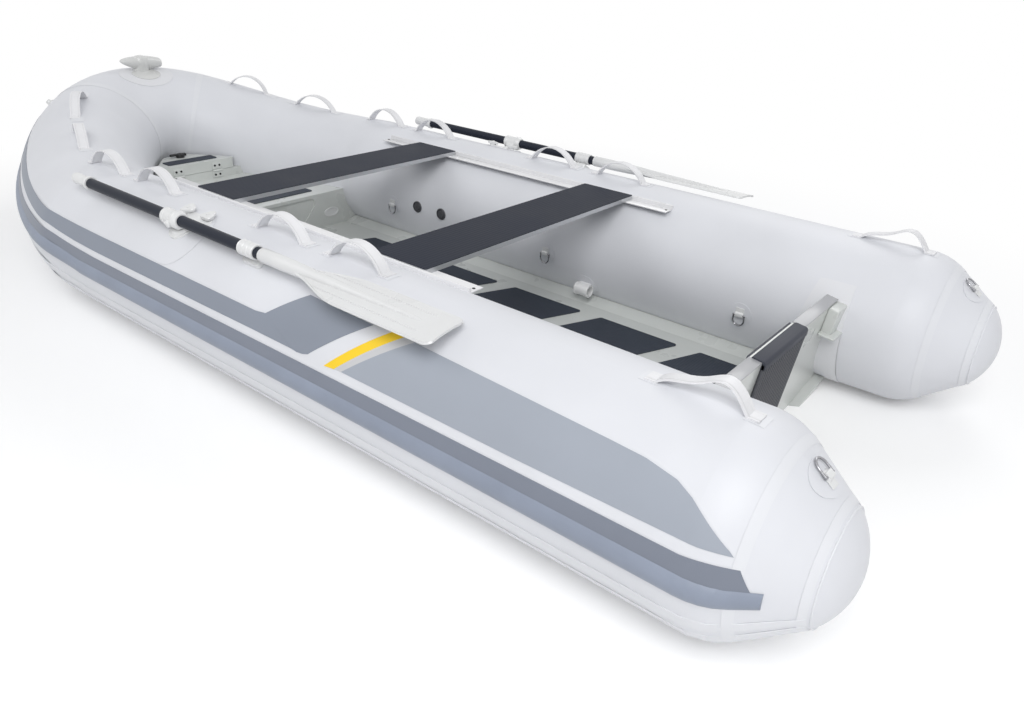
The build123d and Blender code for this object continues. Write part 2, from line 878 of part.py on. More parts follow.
def d_ring(foot, hang):
    """Steel D held in a tab: the tab stands on one plane and the D hangs in the other."""
    outer = ring_radius + ring_wire
    inner = ring_radius - ring_wire
    with BuildPart() as ring:
        add(patch_shell(foot, ring_patch_radius))
        with BuildSketch(foot.offset(patch_thickness / 2)):
            Rectangle(ring_tab_width, ring_tab_height)
        extrude(amount=ring_tab_thickness)
        with BuildSketch(hang):
            with Locations((0, (ring_wire - ring_drop) / 2)):
                Rectangle(2 * outer, ring_drop + ring_wire)
            with Locations((0, -ring_drop)):
                Circle(outer)
            with Locations((0, -(ring_wire + ring_drop) / 2)):
                Rectangle(2 * inner, ring_drop - ring_wire, mode=Mode.SUBTRACT)
            with Locations((0, -ring_drop)):
                Circle(inner, mode=Mode.SUBTRACT)
        extrude(amount=ring_wire, both=True)
        add(tube_room_side, mode=Mode.SUBTRACT)
    return ring.part


skin_radius = tube_radius + seat_gap
ring_rise = (patch_thickness + ring_tab_thickness) / 2
# Stations: name and x; the inside rings hang plumb.
for name, x in (("rings_fore", ring_fore_x), ("rings_mid", ring_mid_x), ("rings_aft", ring_aft_x)):
    foot, normal = tube_point(x, ring_angle, skin_radius)
    tab_plane = Plane(origin=foot, x_dir=(1, 0, 0), z_dir=normal)
    plumb = Plane(origin=foot + normal * ring_rise, x_dir=(1, 0, 0), z_dir=(0, -1, 0))
    ring = d_ring(tab_plane, plumb)
    pieces[name] = Compound(children=[ring, starboard(ring)])

# The ring on each cone lies up the slope from its tab.
cone_turn = radians(cone_ring_angle)
cone_out = Vector(0, cos(cone_turn), sin(cone_turn))
cone_normal = cone_out * cos(cone_slope) - Vector(sin(cone_slope), 0, 0)
cone_middle = Vector(cone_ring_x, tube_axis_y, tube_axis_z)
cone_foot = cone_middle + cone_out * cone_radius(cone_ring_x) + cone_normal * seat_gap
cone_across = (0, sin(cone_turn), -cos(cone_turn))
cone_plane = Plane(origin=cone_foot, x_dir=cone_across, z_dir=cone_normal)
cone_ring = d_ring(cone_plane, cone_plane.offset(ring_rise + ring_wire / 2))
pieces["rings_stern"] = Compound(children=[cone_ring, starboard(cone_ring)])

with BuildPart() as valves:
    for x in (valve_fore_x, valve_after_x):
        centre, normal = tube_point(x, valve_angle, skin_radius - patch_thickness)
        with BuildSketch(Plane(origin=centre, x_dir=(1, 0, 0), z_dir=normal)):
            Circle(valve_radius)
        extrude(amount=valve_height + patch_thickness)
    add(tube_room_side, mode=Mode.SUBTRACT)
    mirror(about=Plane.XZ)
pieces["valves"] = valves.part

socket_foot, socket_normal = tube_point(socket_x, socket_angle, skin_radius)
bore_centre = socket_foot + socket_normal * socket_radius - Vector(socket_length / 2, 0, 0)
bore_plane = Plane(origin=bore_centre, x_dir=(0, 1, 0), z_dir=(1, 0, 0))
socket_plane = Plane(origin=socket_foot, x_dir=(1, 0, 0), z_dir=socket_normal)
with BuildPart() as pole_socket:
    add(patch_shell(socket_plane, socket_patch_radius))
    with BuildSketch(bore_plane):
        Circle(socket_radius)
    extrude(amount=socket_length)
    with BuildSketch(bore_plane):
        Circle(socket_bore)
    extrude(amount=socket_length - socket_end, mode=Mode.SUBTRACT)
    add(tube_room_side, mode=Mode.SUBTRACT)
pieces["pole_sockets"] = Compound(children=[pole_socket.part, starboard(pole_socket.part)])

# The bow cleat: a post with two horns on an oval patch, leaning aft on the nose of the tube.

def nose_plane(angle):
    """Plane on the skin of the tube's nose, on the centre plane; the angle leans aft."""
    normal = Vector(cos(radians(angle)), 0, sin(radians(angle)))
    return Plane(origin=bow_axis(90) + normal * skin_radius, x_dir=(0, 1, 0), z_dir=normal)


cleat_plane = nose_plane(cleat_angle)
with BuildPart() as bow_cleat:
    with BuildSketch(nose_plane(cleat_patch_angle)):
        Ellipse(cleat_patch_across, cleat_patch_along)
    extrude(amount=skin_fall(cleat_patch_across) + 2 * patch_thickness, both=True)
    add(nose_chamber(seat_gap + patch_thickness), mode=Mode.INTERSECT)
    with BuildSketch(cleat_plane.offset(-cleat_post_sink)):
        Ellipse(cleat_post_across, cleat_post_along)
    extrude(amount=cleat_post_height + cleat_post_sink)
    with BuildSketch(cleat_plane.offset(cleat_post_height)):
        RectangleRounded(cleat_horn_length, cleat_horn_width, cleat_horn_round)
    extrude(amount=cleat_horn_height)
    add(tube_room_nose, mode=Mode.SUBTRACT)
pieces["bow_cleat"] = bow_cleat.part


# ---------------------------------------------------------------- rowlocks and oars
pin_foot, oar_normal = tube_point(oar_pin_x, oar_angle, skin_radius)
rowlock_plane = Plane(origin=pin_foot, x_dir=(1, 0, 0), z_dir=oar_normal)
oar_level = oar_height - seat_gap
clamp_low = oar_level - oar_clamp_radius
knob_angle = oar_angle + degrees(rowlock_knob_inset / tube_radius)
plate_angle = knob_angle - rowlock_plate_turn
with BuildPart() as rowlock:
    with BuildSketch(rowlock_plane.offset(-rowlock_plate)):
        Circle(rowlock_radius)
    extrude(amount=rowlock_plate + clamp_low - oar_pin_gap)
    with BuildSketch(rowlock_plane):
        Circle(oar_pin_radius)
    extrude(amount=oar_level - oar_shaft_radius - oar_pin_gap)
    # two clamping knobs inboard of the oar, on a plate of their own
    for x in (rowlock_knob_x - rowlock_knob_pitch / 2, rowlock_knob_x + rowlock_knob_pitch / 2):
        knob_foot, knob_normal = tube_point(x, knob_angle, skin_radius - patch_thickness)
        with BuildSketch(Plane(origin=knob_foot, x_dir=(1, 0, 0), z_dir=knob_normal)):
            Circle(rowlock_knob_radius)
        extrude(amount=rowlock_knob_height + patch_thickness)
    plate_foot, plate_normal = tube_point(rowlock_knob_x, plate_angle, skin_radius - rowlock_plate)
    with BuildSketch(Plane(origin=plate_foot, x_dir=(1, 0, 0), z_dir=plate_normal)):
        SlotOverall(rowlock_length, rowlock_width)
    extrude(amount=2 * rowlock_plate - patch_thickness)
    add(tube_room_side, mode=Mode.SUBTRACT)
pieces["rowlock_port"] = rowlock.part
pieces["rowlock_starboard"] = starboard(rowlock.part)

rest_foot, rest_normal = tube_point(rest_x, oar_angle, skin_radius - patch_thickness)
with BuildPart() as oar_rest:
    with BuildSketch(Plane(origin=rest_foot, x_dir=(1, 0, 0), z_dir=rest_normal)):
        RectangleRounded(rest_length, rest_width, pad_corner)
    extrude(amount=rest_height + patch_thickness)
    add(tube_room_side, mode=Mode.SUBTRACT)
pieces["oar_rests"] = Compound(children=[oar_rest.part, starboard(oar_rest.part)])

oar_origin = pin_foot + oar_normal * oar_level


def oar_station(x):
    """Plane across the oar."""
    return Plane(
        origin=(x, oar_origin.Y, oar_origin.Z),
        x_dir=(0, sin(radians(oar_angle)), -cos(radians(oar_angle))),
        z_dir=(1, 0, 0),
    )


with BuildPart() as oar_shaft:
    with BuildSketch(oar_station(oar_socket_x)):
        Circle(oar_shaft_radius)
    extrude(amount=oar_grip_x - oar_grip_length - oar_socket_x)
pieces["oar_shaft_port"] = oar_shaft.part

with BuildPart() as oar_grip:
    with BuildSketch(oar_station(oar_grip_x - oar_grip_length)):
        Circle(oar_grip_radius)
    extrude(amount=oar_grip_length)
pieces["oar_grip_port"] = oar_grip.part

# The clamp turns on the rowlock's pin; the collar is the stop sleeve above the blade.
with BuildPart() as oar_clamp:
    with BuildSketch(oar_station(oar_pin_x - oar_clamp_length / 2)):
        Circle(oar_clamp_radius)
        Circle(oar_shaft_radius, mode=Mode.SUBTRACT)
    extrude(amount=oar_clamp_length)
    with BuildSketch(rowlock_plane):
        Circle(oar_pin_radius + oar_pin_clearance)
    extrude(amount=oar_level - oar_shaft_radius, mode=Mode.SUBTRACT)

with BuildPart() as oar_collar:
    with BuildSketch(oar_station(oar_collar_x - oar_collar_length / 2)):
        Circle(oar_collar_radius)
        Circle(oar_shaft_radius, mode=Mode.SUBTRACT)
    extrude(amount=oar_collar_length)
pieces["oar_clamp_port"] = Compound(children=[oar_clamp.part, oar_collar.part])

half_blade = oar_blade_width / 2
blade_length = oar_blade_root_x - oar_blade_tip_x
blade_middle = Plane(origin=oar_station(oar_blade_root_x).origin, x_dir=(-1, 0, 0), z_dir=oar_normal)
with BuildPart() as oar_blade:
    with BuildSketch(oar_station(oar_blade_root_x)):
        Circle(oar_socket_radius)
    extrude(amount=oar_socket_x - oar_blade_root_x)
    with BuildSketch(blade_middle) as blade_outline:
        with BuildLine():
            Polyline(
                (0, oar_socket_radius),
                (blade_shoulder, blade_shoulder_width / 2),
                (blade_full, half_blade),
                (blade_length, half_blade),
                (blade_length, -half_blade),
                (blade_full, -half_blade),
                (blade_shoulder, -blade_shoulder_width / 2),
                (0, -oar_socket_radius),
                close=True,
            )
        make_face()
        fillet(blade_outline.vertices().sort_by(Axis.X)[:2], blade_tip_round)
    extrude(amount=oar_blade_thickness / 2, both=True)
pieces["oar_blade_port"] = oar_blade.part
for name in ("oar_shaft", "oar_grip", "oar_clamp", "oar_blade"):
    pieces[f"{name}_starboard"] = starboard(pieces[f"{name}_port"])

os.makedirs("parts", exist_ok=True)
for name, piece in pieces.items():
    piece.label = name
    export_step(piece, f"parts/{name}.step")
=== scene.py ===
"""Rigid inflatable tender with sliding benches, bow locker and stowed oars."""

from math import atan2, cos, degrees, pi, radians, sin, sqrt, tan

import bpy
from mathutils import Matrix, Vector


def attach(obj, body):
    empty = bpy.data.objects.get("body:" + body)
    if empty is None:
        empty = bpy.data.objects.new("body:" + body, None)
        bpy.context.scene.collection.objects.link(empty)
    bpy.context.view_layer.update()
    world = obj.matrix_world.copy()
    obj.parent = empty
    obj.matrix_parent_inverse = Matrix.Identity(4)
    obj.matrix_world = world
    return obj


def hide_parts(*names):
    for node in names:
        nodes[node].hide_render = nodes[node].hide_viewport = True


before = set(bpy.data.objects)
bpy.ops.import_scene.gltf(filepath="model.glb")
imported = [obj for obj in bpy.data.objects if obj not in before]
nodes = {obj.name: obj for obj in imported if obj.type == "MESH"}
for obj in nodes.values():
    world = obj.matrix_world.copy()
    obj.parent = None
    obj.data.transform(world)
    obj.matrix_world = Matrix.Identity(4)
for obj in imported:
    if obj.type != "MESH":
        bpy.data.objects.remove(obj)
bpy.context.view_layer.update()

# Camera: standing off the port quarter at chest height, looking down and forward
# over the boat, with the lens shifted a little to frame it.
camera_data = bpy.data.cameras.new("camera")
camera_data.sensor_width = 36.0
camera_data.lens = 28.392
camera_data.shift_x = -0.01642
camera_data.shift_y = -0.01877
camera_data.clip_end = 60.0
camera = bpy.data.objects.new("camera", camera_data)
bpy.context.scene.collection.objects.link(camera)
camera.matrix_world = (
    Matrix.Translation((-0.5929, 1.8602, 1.2018))
    @ Matrix.Rotation(radians(-143.4733), 4, "Z")
    @ Matrix.Rotation(radians(64.4575), 4, "X")
    @ Matrix.Rotation(radians(3.4591), 4, "Z")
)
bpy.context.scene.camera = camera

# Studio: a sweep at the waterline that turns white away from the boat, a white sky for the
# camera and for glossy and clear pieces, and large soft lamps.
def rays_that_see_white(tree):
    """Factor of 1 for camera, glossy and transmission rays, and 0 for the rest."""
    paths = tree.nodes.new("ShaderNodeLightPath")
    camera_or_gloss = tree.nodes.new("ShaderNodeMath")
    camera_or_gloss.operation = "MAXIMUM"
    any_of_three = tree.nodes.new("ShaderNodeMath")
    any_of_three.operation = "MAXIMUM"
    tree.links.new(paths.outputs["Is Camera Ray"], camera_or_gloss.inputs[0])
    tree.links.new(paths.outputs["Is Glossy Ray"], camera_or_gloss.inputs[1])
    tree.links.new(camera_or_gloss.outputs[0], any_of_three.inputs[0])
    tree.links.new(paths.outputs["Is Transmission Ray"], any_of_three.inputs[1])
    return any_of_three.outputs[0]


bpy.ops.object.select_all(action="DESELECT")
bpy.ops.mesh.primitive_plane_add(size=60.0, location=(0.0, 0.0, 0.0))
floor = bpy.context.object
floor.name = "floor"
floor_paint = bpy.data.materials.new("floor_paint")
floor_paint.use_nodes = True
tree = floor_paint.node_tree
tree.nodes.clear()
surface_out = tree.nodes.new("ShaderNodeOutputMaterial")
matt = tree.nodes.new("ShaderNodeBsdfDiffuse")
matt.inputs["Color"].default_value = (0.90, 0.90, 0.90, 1.0)
lift_off = tree.nodes.new("ShaderNodeEmission")
lift_off.inputs["Color"].default_value = (1.0, 1.0, 1.0, 1.0)
lift_off.inputs["Strength"].default_value = 0.16
seen_lift = tree.nodes.new("ShaderNodeMixShader")
both = tree.nodes.new("ShaderNodeAddShader")
far_white = tree.nodes.new("ShaderNodeEmission")
far_white.inputs["Color"].default_value = (1.0, 1.0, 1.0, 1.0)
spot = tree.nodes.new("ShaderNodeTexCoord")
from_boat = tree.nodes.new("ShaderNodeVectorMath")
from_boat.operation = "DISTANCE"
from_boat.inputs[1].default_value = (1.3, 0.0, 0.0)
fade = tree.nodes.new("ShaderNodeMapRange")
fade.interpolation_type = "SMOOTHSTEP"
fade.inputs["From Min"].default_value = 1.7
fade.inputs["From Max"].default_value = 3.2
sweep = tree.nodes.new("ShaderNodeMixShader")
tree.links.new(spot.outputs["Object"], from_boat.inputs[0])
tree.links.new(from_boat.outputs["Value"], fade.inputs["Value"])
tree.links.new(fade.outputs["Result"], sweep.inputs[0])
tree.links.new(both.outputs[0], sweep.inputs[1])
tree.links.new(far_white.outputs[0], sweep.inputs[2])
tree.links.new(matt.outputs[0], both.inputs[0])
tree.links.new(lift_off.outputs[0], both.inputs[1])
tree.links.new(rays_that_see_white(tree), seen_lift.inputs[0])
tree.links.new(matt.outputs[0], seen_lift.inputs[1])
tree.links.new(sweep.outputs[0], seen_lift.inputs[2])
tree.links.new(seen_lift.outputs[0], surface_out.inputs[0])
floor.data.materials.append(floor_paint)

sky = bpy.data.worlds.new("sky")
bpy.context.scene.world = sky
sky.use_nodes = True
tree = sky.node_tree
tree.nodes.clear()
sky_out = tree.nodes.new("ShaderNodeOutputWorld")
dome = tree.nodes.new("ShaderNodeBackground")
dome.inputs["Color"].default_value = (0.97, 0.98, 1.0, 1.0)
dome.inputs["Strength"].default_value = 0.50
white = tree.nodes.new("ShaderNodeBackground")
white.inputs["Color"].default_value = (1.0, 1.0, 1.0, 1.0)
white.inputs["Strength"].default_value = 1.0
blend_sky = tree.nodes.new("ShaderNodeMixShader")
tree.links.new(rays_that_see_white(tree), blend_sky.inputs[0])
tree.links.new(dome.outputs[0], blend_sky.inputs[1])
tree.links.new(white.outputs[0], blend_sky.inputs[2])
tree.links.new(blend_sky.outputs[0], sky_out.inputs[0])

# Lamps: name, place, point aimed at, size across and power.
for name, place, aim, size, power in (
    ("key", (-1.6, 3.4, 4.2), (1.2, 0.2, 0.2), 3.5, 172.0),
    ("fill", (4.4, 2.6, 3.4), (1.6, 0.0, 0.2), 3.0, 20.0),
    ("rim", (1.0, -3.8, 3.6), (1.2, -0.2, 0.2), 3.0, 45.0),
):
    lamp = bpy.data.lights.new(name, "AREA")
    lamp.shape = "DISK"
    lamp.size = size
    lamp.energy = power
    lamp_object = bpy.data.objects.new(name, lamp)
    bpy.context.scene.collection.objects.link(lamp_object)
    lamp_object.location = place
    lamp_object.rotation_euler = (Vector(aim) - Vector(place)).to_track_quat("-Z", "Y").to_euler()
bpy.context.scene.view_settings.view_transform = "Standard"

# Air tubes: two straight chambers with stern cones and a bow chamber in three lengths,
# of woven polyester coated on both sides, inflated hard. Glued to the hull's edge.
def clouded_paint(name, colour, clouds_of, spread, tones, roughness):
    """Paint whose colour and gloss drift with one soft noise on Object coordinates: the noise's
    scale and detail, the ramp's ends, the tones at them, and the least and most roughness."""
    paint = bpy.data.materials.new(name)
    paint.use_nodes = True
    nodes_of = paint.node_tree.nodes
    links = paint.node_tree.links
    shader = nodes_of["Principled BSDF"]
    place = nodes_of.new("ShaderNodeTexCoord")
    clouds = nodes_of.new("ShaderNodeTexNoise")
    clouds.inputs["Scale"].default_value = clouds_of[0]
    clouds.inputs["Detail"].default_value = clouds_of[1]
    tone = nodes_of.new("ShaderNodeValToRGB")
    for stop, position, share in zip(tone.color_ramp.elements, spread, tones):
        stop.position = position
        stop.color = (*[min(c * share, 1.0) for c in colour], 1.0)
    gloss = nodes_of.new("ShaderNodeMapRange")
    gloss.inputs["To Min"].default_value = roughness[0]
    gloss.inputs["To Max"].default_value = roughness[1]
    links.new(place.outputs["Object"], clouds.inputs["Vector"])
    links.new(clouds.outputs["Fac"], tone.inputs["Fac"])
    links.new(tone.outputs["Color"], shader.inputs["Base Color"])
    links.new(clouds.outputs["Fac"], gloss.inputs["Value"])
    links.new(gloss.outputs["Result"], shader.inputs["Roughness"])
    return paint, place, clouds


def raise_relief(paint, height, strength, distance):
    """Bump a paint by a height, on top of any relief that it has."""
    links = paint.node_tree.links
    normal = paint.node_tree.nodes["Principled BSDF"].inputs["Normal"]
    relief = paint.node_tree.nodes.new("ShaderNodeBump")
    relief.inputs["Strength"].default_value = strength
    relief.inputs["Distance"].default_value = distance
    if normal.is_linked:
        links.new(normal.links[0].from_socket, relief.inputs["Normal"])
    links.new(height, relief.inputs["Height"])
    links.new(relief.outputs["Normal"], normal)


def coated_fabric(name, colour):
    """Coated woven polyester: a fine weave under a satin coat, with faint cloudy tone."""
    paint, place, _ = clouded_paint(name, colour, (3.5, 4.0), (0.30, 0.72), (0.955, 1.02), (0.42, 0.54))
    nodes_of = paint.node_tree.nodes
    links = paint.node_tree.links
    shader = nodes_of["Principled BSDF"]
    shader.inputs["Specular IOR Level"].default_value = 0.5
    shader.inputs["Sheen Weight"].default_value = 0.08
    shader.inputs["Sheen Roughness"].default_value = 0.5
    threads = nodes_of.new("ShaderNodeTexWave")
    threads.wave_type = "BANDS"
    threads.bands_direction = "DIAGONAL"
    threads.inputs["Scale"].default_value = 260.0
    threads.inputs["Distortion"].default_value = 0.6
    grain = nodes_of.new("ShaderNodeTexNoise")
    grain.inputs["Scale"].default_value = 420.0
    grain.inputs["Detail"].default_value = 2.0
    weave = nodes_of.new("ShaderNodeMath")
    weave.operation = "ADD"
    links.new(place.outputs["Object"], threads.inputs["Vector"])
    links.new(place.outputs["Object"], grain.inputs["Vector"])
    links.new(threads.outputs["Fac"], weave.inputs[0])
    links.new(grain.outputs["Fac"], weave.inputs[1])
    raise_relief(paint, weave.outputs[0], 0.25, 0.00005)
    return paint


def dress(node, paint):
    """Give a CAD node its finish."""
    nodes[node].data.materials.clear()
    nodes[node].data.materials.append(paint)


tube_white = coated_fabric("tube_white", (0.72, 0.73, 0.765))
for node in ("tube_port", "tube_starboard", "bow_tube_port", "bow_tube_starboard", "bow_tube_nose"):
    dress(node, tube_white)

# Seams: narrow cover tapes of the same fabric round the joints of the chambers and along
# the underside, where the two halves of each tube overlap.
tube_radius = 0.230
tube_axis_y = 0.612
tube_axis_z = 0.235
skin_gap = 0.0003
bow_start_x = 2.126
bow_length = 0.881
bow_rise = 0.160
bow_climb_power = 1.54
bow_width_power = 0.94
bow_rise_power = 2.54
cone_start_x = -0.229
cone_end_x = -0.382
cone_round = 0.150
cap_radius = 0.116


def tube_axis(station):
    """Point on the port tube's axis. Up to 0 the station is metres aft of the bow's turn,
    past it degrees of the bow curve, 90 being the stem."""
    if station <= 0.0:
        return Vector((bow_start_x + station, tube_axis_y, tube_axis_z))
    swing = radians(station)
    climb = sin(swing) ** bow_climb_power
    return Vector(
        (
            bow_start_x + bow_length * climb,
            tube_axis_y * max(cos(swing), 0.0) ** bow_width_power,
            tube_axis_z + bow_rise * climb**bow_rise_power,
        )
    )


cone_slope = atan2(tube_radius - cap_radius, cone_start_x - cone_end_x)
round_fore_x = cone_start_x + cone_round * tan(cone_slope / 2)
round_aft_x = round_fore_x - cone_round * sin(cone_slope)


def skin_radius(x):
    """Radius of the side tube at one station, with its rounded shoulder and cone."""
    if x > round_fore_x:
        return tube_radius
    if x > round_aft_x:
        return tube_radius - cone_round + sqrt(cone_round**2 - (round_fore_x - x) ** 2)
    return tube_radius - (cone_start_x - x) * tan(cone_slope)


def tube_ring(station):
    """Centre, outboard and upward directions and radius of the port tube at a station."""
    centre = tube_axis(station)
    if station < 0.5:
        along = Vector((1.0, 0.0, 0.0))
    elif station > 89.0:
        along = Vector((0.0, -1.0, 0.0))
    else:
        along = (tube_axis(station + 0.5) - tube_axis(station - 0.5)).normalized()
    outboard = Vector((0.0, 0.0, 1.0)).cross(along).normalized()
    radius = skin_radius(centre.x) if station < 0.0 else tube_radius
    return centre, outboard, along.cross(outboard), radius


def on_skin(station, angle, lift=0.0):
    """Point on the port tube's skin, by station and degrees up from outboard."""
    centre, outboard, upward, radius = tube_ring(station)
    turn = radians(angle)
    return centre + (outboard * cos(turn) + upward * sin(turn)) * (radius + lift)


def at_x(x):
    """Station of a place on the straight tube."""
    return x - bow_start_x


def edge_point(edge, share):
    """Point at a share of an edge given by its corners (station, angle), evenly by corner."""
    reach = share * (len(edge) - 1)
    first = min(int(reach), len(edge) - 2)
    a, b = edge[first], edge[first + 1]
    return a[0] + (b[0] - a[0]) * (reach - first), a[1] + (b[1] - a[1]) * (reach - first)


def alone(piece):
    """Make a piece the only one selected, and active."""
    bpy.ops.object.select_all(action="DESELECT")
    piece.select_set(True)
    bpy.context.view_layer.objects.active = piece


def baked(piece):
    """Bake a piece's place, turn and size into its mesh."""
    alone(piece)
    bpy.ops.object.transform_apply(location=True, rotation=True, scale=True)
    return piece


smooth_angle = radians(35.0)


def finished(piece, paint, body):
    """Bake a piece's place in, smooth it, and give it its finish and body."""
    baked(piece)
    bpy.ops.object.shade_smooth_by_angle(angle=smooth_angle)
    piece.data.materials.clear()
    piece.data.materials.append(paint)
    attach(piece, body)
    return piece


def in_pairs(piece, paint, body):
    """Finish a port piece, and a mirrored starboard copy with a mesh of its own."""
    name = piece.name
    piece.name = f"{name}_port"
    baked(piece)
    bpy.ops.object.duplicate()
    copy = bpy.context.object
    copy.name = f"{name}_starboard"
    copy.scale = (1.0, -1.0, 1.0)
    bpy.ops.object.transform_apply(location=False, rotation=False, scale=True)
    bpy.ops.object.mode_set(mode="EDIT")
    bpy.ops.mesh.select_all(action="SELECT")
    bpy.ops.mesh.normals_make_consistent(inside=False)
    bpy.ops.object.mode_set(mode="OBJECT")
    finished(piece, paint, body)
    finished(copy, paint, body.replace("port", "starboard"))
    return piece, copy


def thickened(piece, thick):
    """Turn a sheet that looks into the tube into a thin solid that stands on it."""
    piece.data.flip_normals()
    alone(piece)
    wall = piece.modifiers.new("wall", "SOLIDIFY")
    wall.thickness = thick
    wall.offset = 1.0
    bpy.ops.object.modifier_apply(modifier="wall")


def glued_panel(name, low_edge, high_edge, counts, paint, thick=0.0008):
    """Fabric glued to the port tube between two edges that run forward, and its starboard twin."""
    along, across = counts
    bpy.ops.object.select_all(action="DESELECT")
    bpy.ops.mesh.primitive_grid_add(x_subdivisions=along, y_subdivisions=across, size=1.0)
    panel = bpy.context.object
    panel.name = name
    for corner in panel.data.vertices:
        low = edge_point(low_edge, corner.co.x + 0.5)
        high = edge_point(high_edge, corner.co.x + 0.5)
        rise = corner.co.y + 0.5
        station = low[0] + (high[0] - low[0]) * rise
        angle = low[1] + (high[1] - low[1]) * rise
        corner.co = on_skin(station, angle, skin_gap)
    thickened(panel, thick)
    in_pairs(panel, paint, "hull")


tape_white = coated_fabric("tape_white", (0.74, 0.75, 0.78))
wrap_low = -128.0
wrap_high = 232.0
# Name, station of the ring, half its width in stations.
for name, station, half in (("bow_seam", 72.0, 1.1), ("cone_seam", at_x(round_aft_x), 0.009)):
    glued_panel(
        name,
        [(station + half, wrap_low), (station + half, wrap_high)],
        [(station - half, wrap_low), (station - half, wrap_high)],
        (180, 2),
        tape_white,
        thick=0.0004,
    )
# The tapes that run the length of the tube rise round the bow: station and degrees of rise.
tape_aft_x = -0.375
tape_run = [(at_x(tape_aft_x), 0.0), (at_x(1.9), 0.0), (0.0, 4.0), (20.0, 6.5), (90.0, 6.5)]
# Name, lower and upper angle of each of them on the straight tube.
for name, low, high in (
    ("under_seam", -27.0, -19.0),
    ("chafe_strip", -50.0, -33.0),
):
    glued_panel(
        name,
        [(station, low + rise) for station, rise in tape_run],
        [(station, high + rise) for station, rise in tape_run],
        (200, 4),
        tape_white,
        thick=0.0014,
    )

# Side graphics: panels of grey fabric glued on above the rub strake, with one yellow and
# one pale slash where the fore panel meets the after one. They carry no lettering.
panel_fabric = coated_fabric("panel_fabric", (0.235, 0.262, 0.315))
after_fabric = coated_fabric("after_fabric", (0.345, 0.375, 0.43))
band_fabric = coated_fabric("band_fabric", (0.195, 0.217, 0.268))
slash_fabric = coated_fabric("slash_fabric", (0.56, 0.56, 0.57))
yellow_fabric = coated_fabric("yellow_fabric", (0.93, 0.62, 0.01))
# Both bands follow the turn into the bow through the same stations.
turn_stations = [at_x(1.60), at_x(1.80), at_x(1.93), at_x(2.03), 0.0, 8.0, 16.0, 24.0, 34.0, 46.0, 90.0]
dark_low = (4.0, 4.1, 4.9, 6.2, 7.7, 8.7, 9.6, 10.2, 10.6, 10.9, 11.0)
dark_high = (12.8, 12.8, 13.7, 15.2, 16.8, 18.2, 19.5, 20.3, 20.8, 21.0, 21.0)
glued_panel(
    "dark_band",
    [(at_x(-0.295), 4.0), (at_x(-0.235), 4.0), (at_x(-0.175), 4.0), *zip(turn_stations, dark_low)],
    [(at_x(-0.272), 16.6), (at_x(-0.225), 15.6), (at_x(-0.175), 14.2), *zip(turn_stations, dark_high)],
    (312, 8),
    band_fabric,
)
# The fore panel runs as a band from the stem, then widens upward to its slanted end.
fore_low = (17.8, 17.6, 18.2, 19.6, 21.6, 22.9, 24.6, 25.9, 26.7, 27.0, 27.0)
fore_high = (30.2, 30.2, 30.4, 30.9, 31.8, 32.9, 34.3, 35.4, 36.1, 36.4, 36.5)
glued_panel(
    "fore_band",
    [(at_x(1.03), 18.8), *zip(turn_stations, fore_low)],
    [(at_x(1.03), 30.2), *zip(turn_stations, fore_high)],
    (220, 8),
    panel_fabric,
)
# Each panel below: name, lower edge, upper edge, finish.
for name, low_edge, high_edge, paint in (
    (
        "fore_panel_root",
        [(at_x(0.865), 18.8), (at_x(1.03), 18.8)],
        [(at_x(0.990), 31.4), (at_x(1.03), 30.2)],
        panel_fabric,
    ),
    (
        "fore_panel",
        [
            (at_x(0.798), 22.4),
            (at_x(0.808), 20.2),
            (at_x(0.826), 18.9),
            (at_x(0.846), 18.4),
            (at_x(0.865), 18.8),
        ],
        [
            (at_x(0.659), 51.4),
            (at_x(0.70), 51.5),
            (at_x(0.76), 51.9),
            (at_x(0.82), 52.3),
            (at_x(0.884), 52.8),
        ],
        panel_fabric,
    ),
    (
        "fore_panel_web",
        [(at_x(0.865), 18.8), (at_x(0.8651), 18.9)],
        [(at_x(0.884), 52.8), (at_x(0.990), 31.4)],
        panel_fabric,
    ),
    (
        "yellow_slash",
        [(at_x(0.714), 19.2), (at_x(0.748), 18.4)],
        [(at_x(0.560), 52.6), (at_x(0.598), 52.6)],
        yellow_fabric,
    ),
    (
        "pale_slash",
        [(at_x(0.690), 19.6), (at_x(0.714), 19.2)],
        [(at_x(0.530), 51.6), (at_x(0.560), 52.6)],
        slash_fabric,
    ),
    (
        "after_panel",
        [(at_x(-0.258), 22.0), (at_x(-0.20), 20.6), (at_x(0.2), 19.6), (at_x(0.690), 19.6)],
        [
            (at_x(-0.250), 24.0),
            (at_x(-0.165), 38.6),
            (at_x(-0.128), 43.0),
            (at_x(-0.060), 46.0),
            (at_x(0.02), 47.0),
            (at_x(0.530), 51.6),
        ],
        after_fabric,
    ),
):
    glued_panel(name, low_edge, high_edge, (64, 32), paint)

# Rub strakes: a solid moulding of grey rubber with a crowned back, glued along the widest
# part of each tube from the stern cone round to the stem.
def moulded_rubber(name, colour):
    """Satin moulded rubber with a fine pebble."""
    paint, place, _ = clouded_paint(name, colour, (6.0, 5.0), (0.3, 0.75), (0.90, 1.08), (0.38, 0.55))
    nodes_of = paint.node_tree.nodes
    nodes_of["Principled BSDF"].inputs["Specular IOR Level"].default_value = 0.4
    pebble = nodes_of.new("ShaderNodeTexNoise")
    pebble.inputs["Scale"].default_value = 520.0
    pebble.inputs["Detail"].default_value = 3.0
    paint.node_tree.links.new(place.outputs["Object"], pebble.inputs["Vector"])
    raise_relief(paint, pebble.outputs["Fac"], 0.3, 0.00015)
    return paint


strake_rubber = moulded_rubber("strake_rubber", (0.265, 0.30, 0.375))
for node in ("strake_port", "strake_starboard"):
    dress(node, strake_rubber)

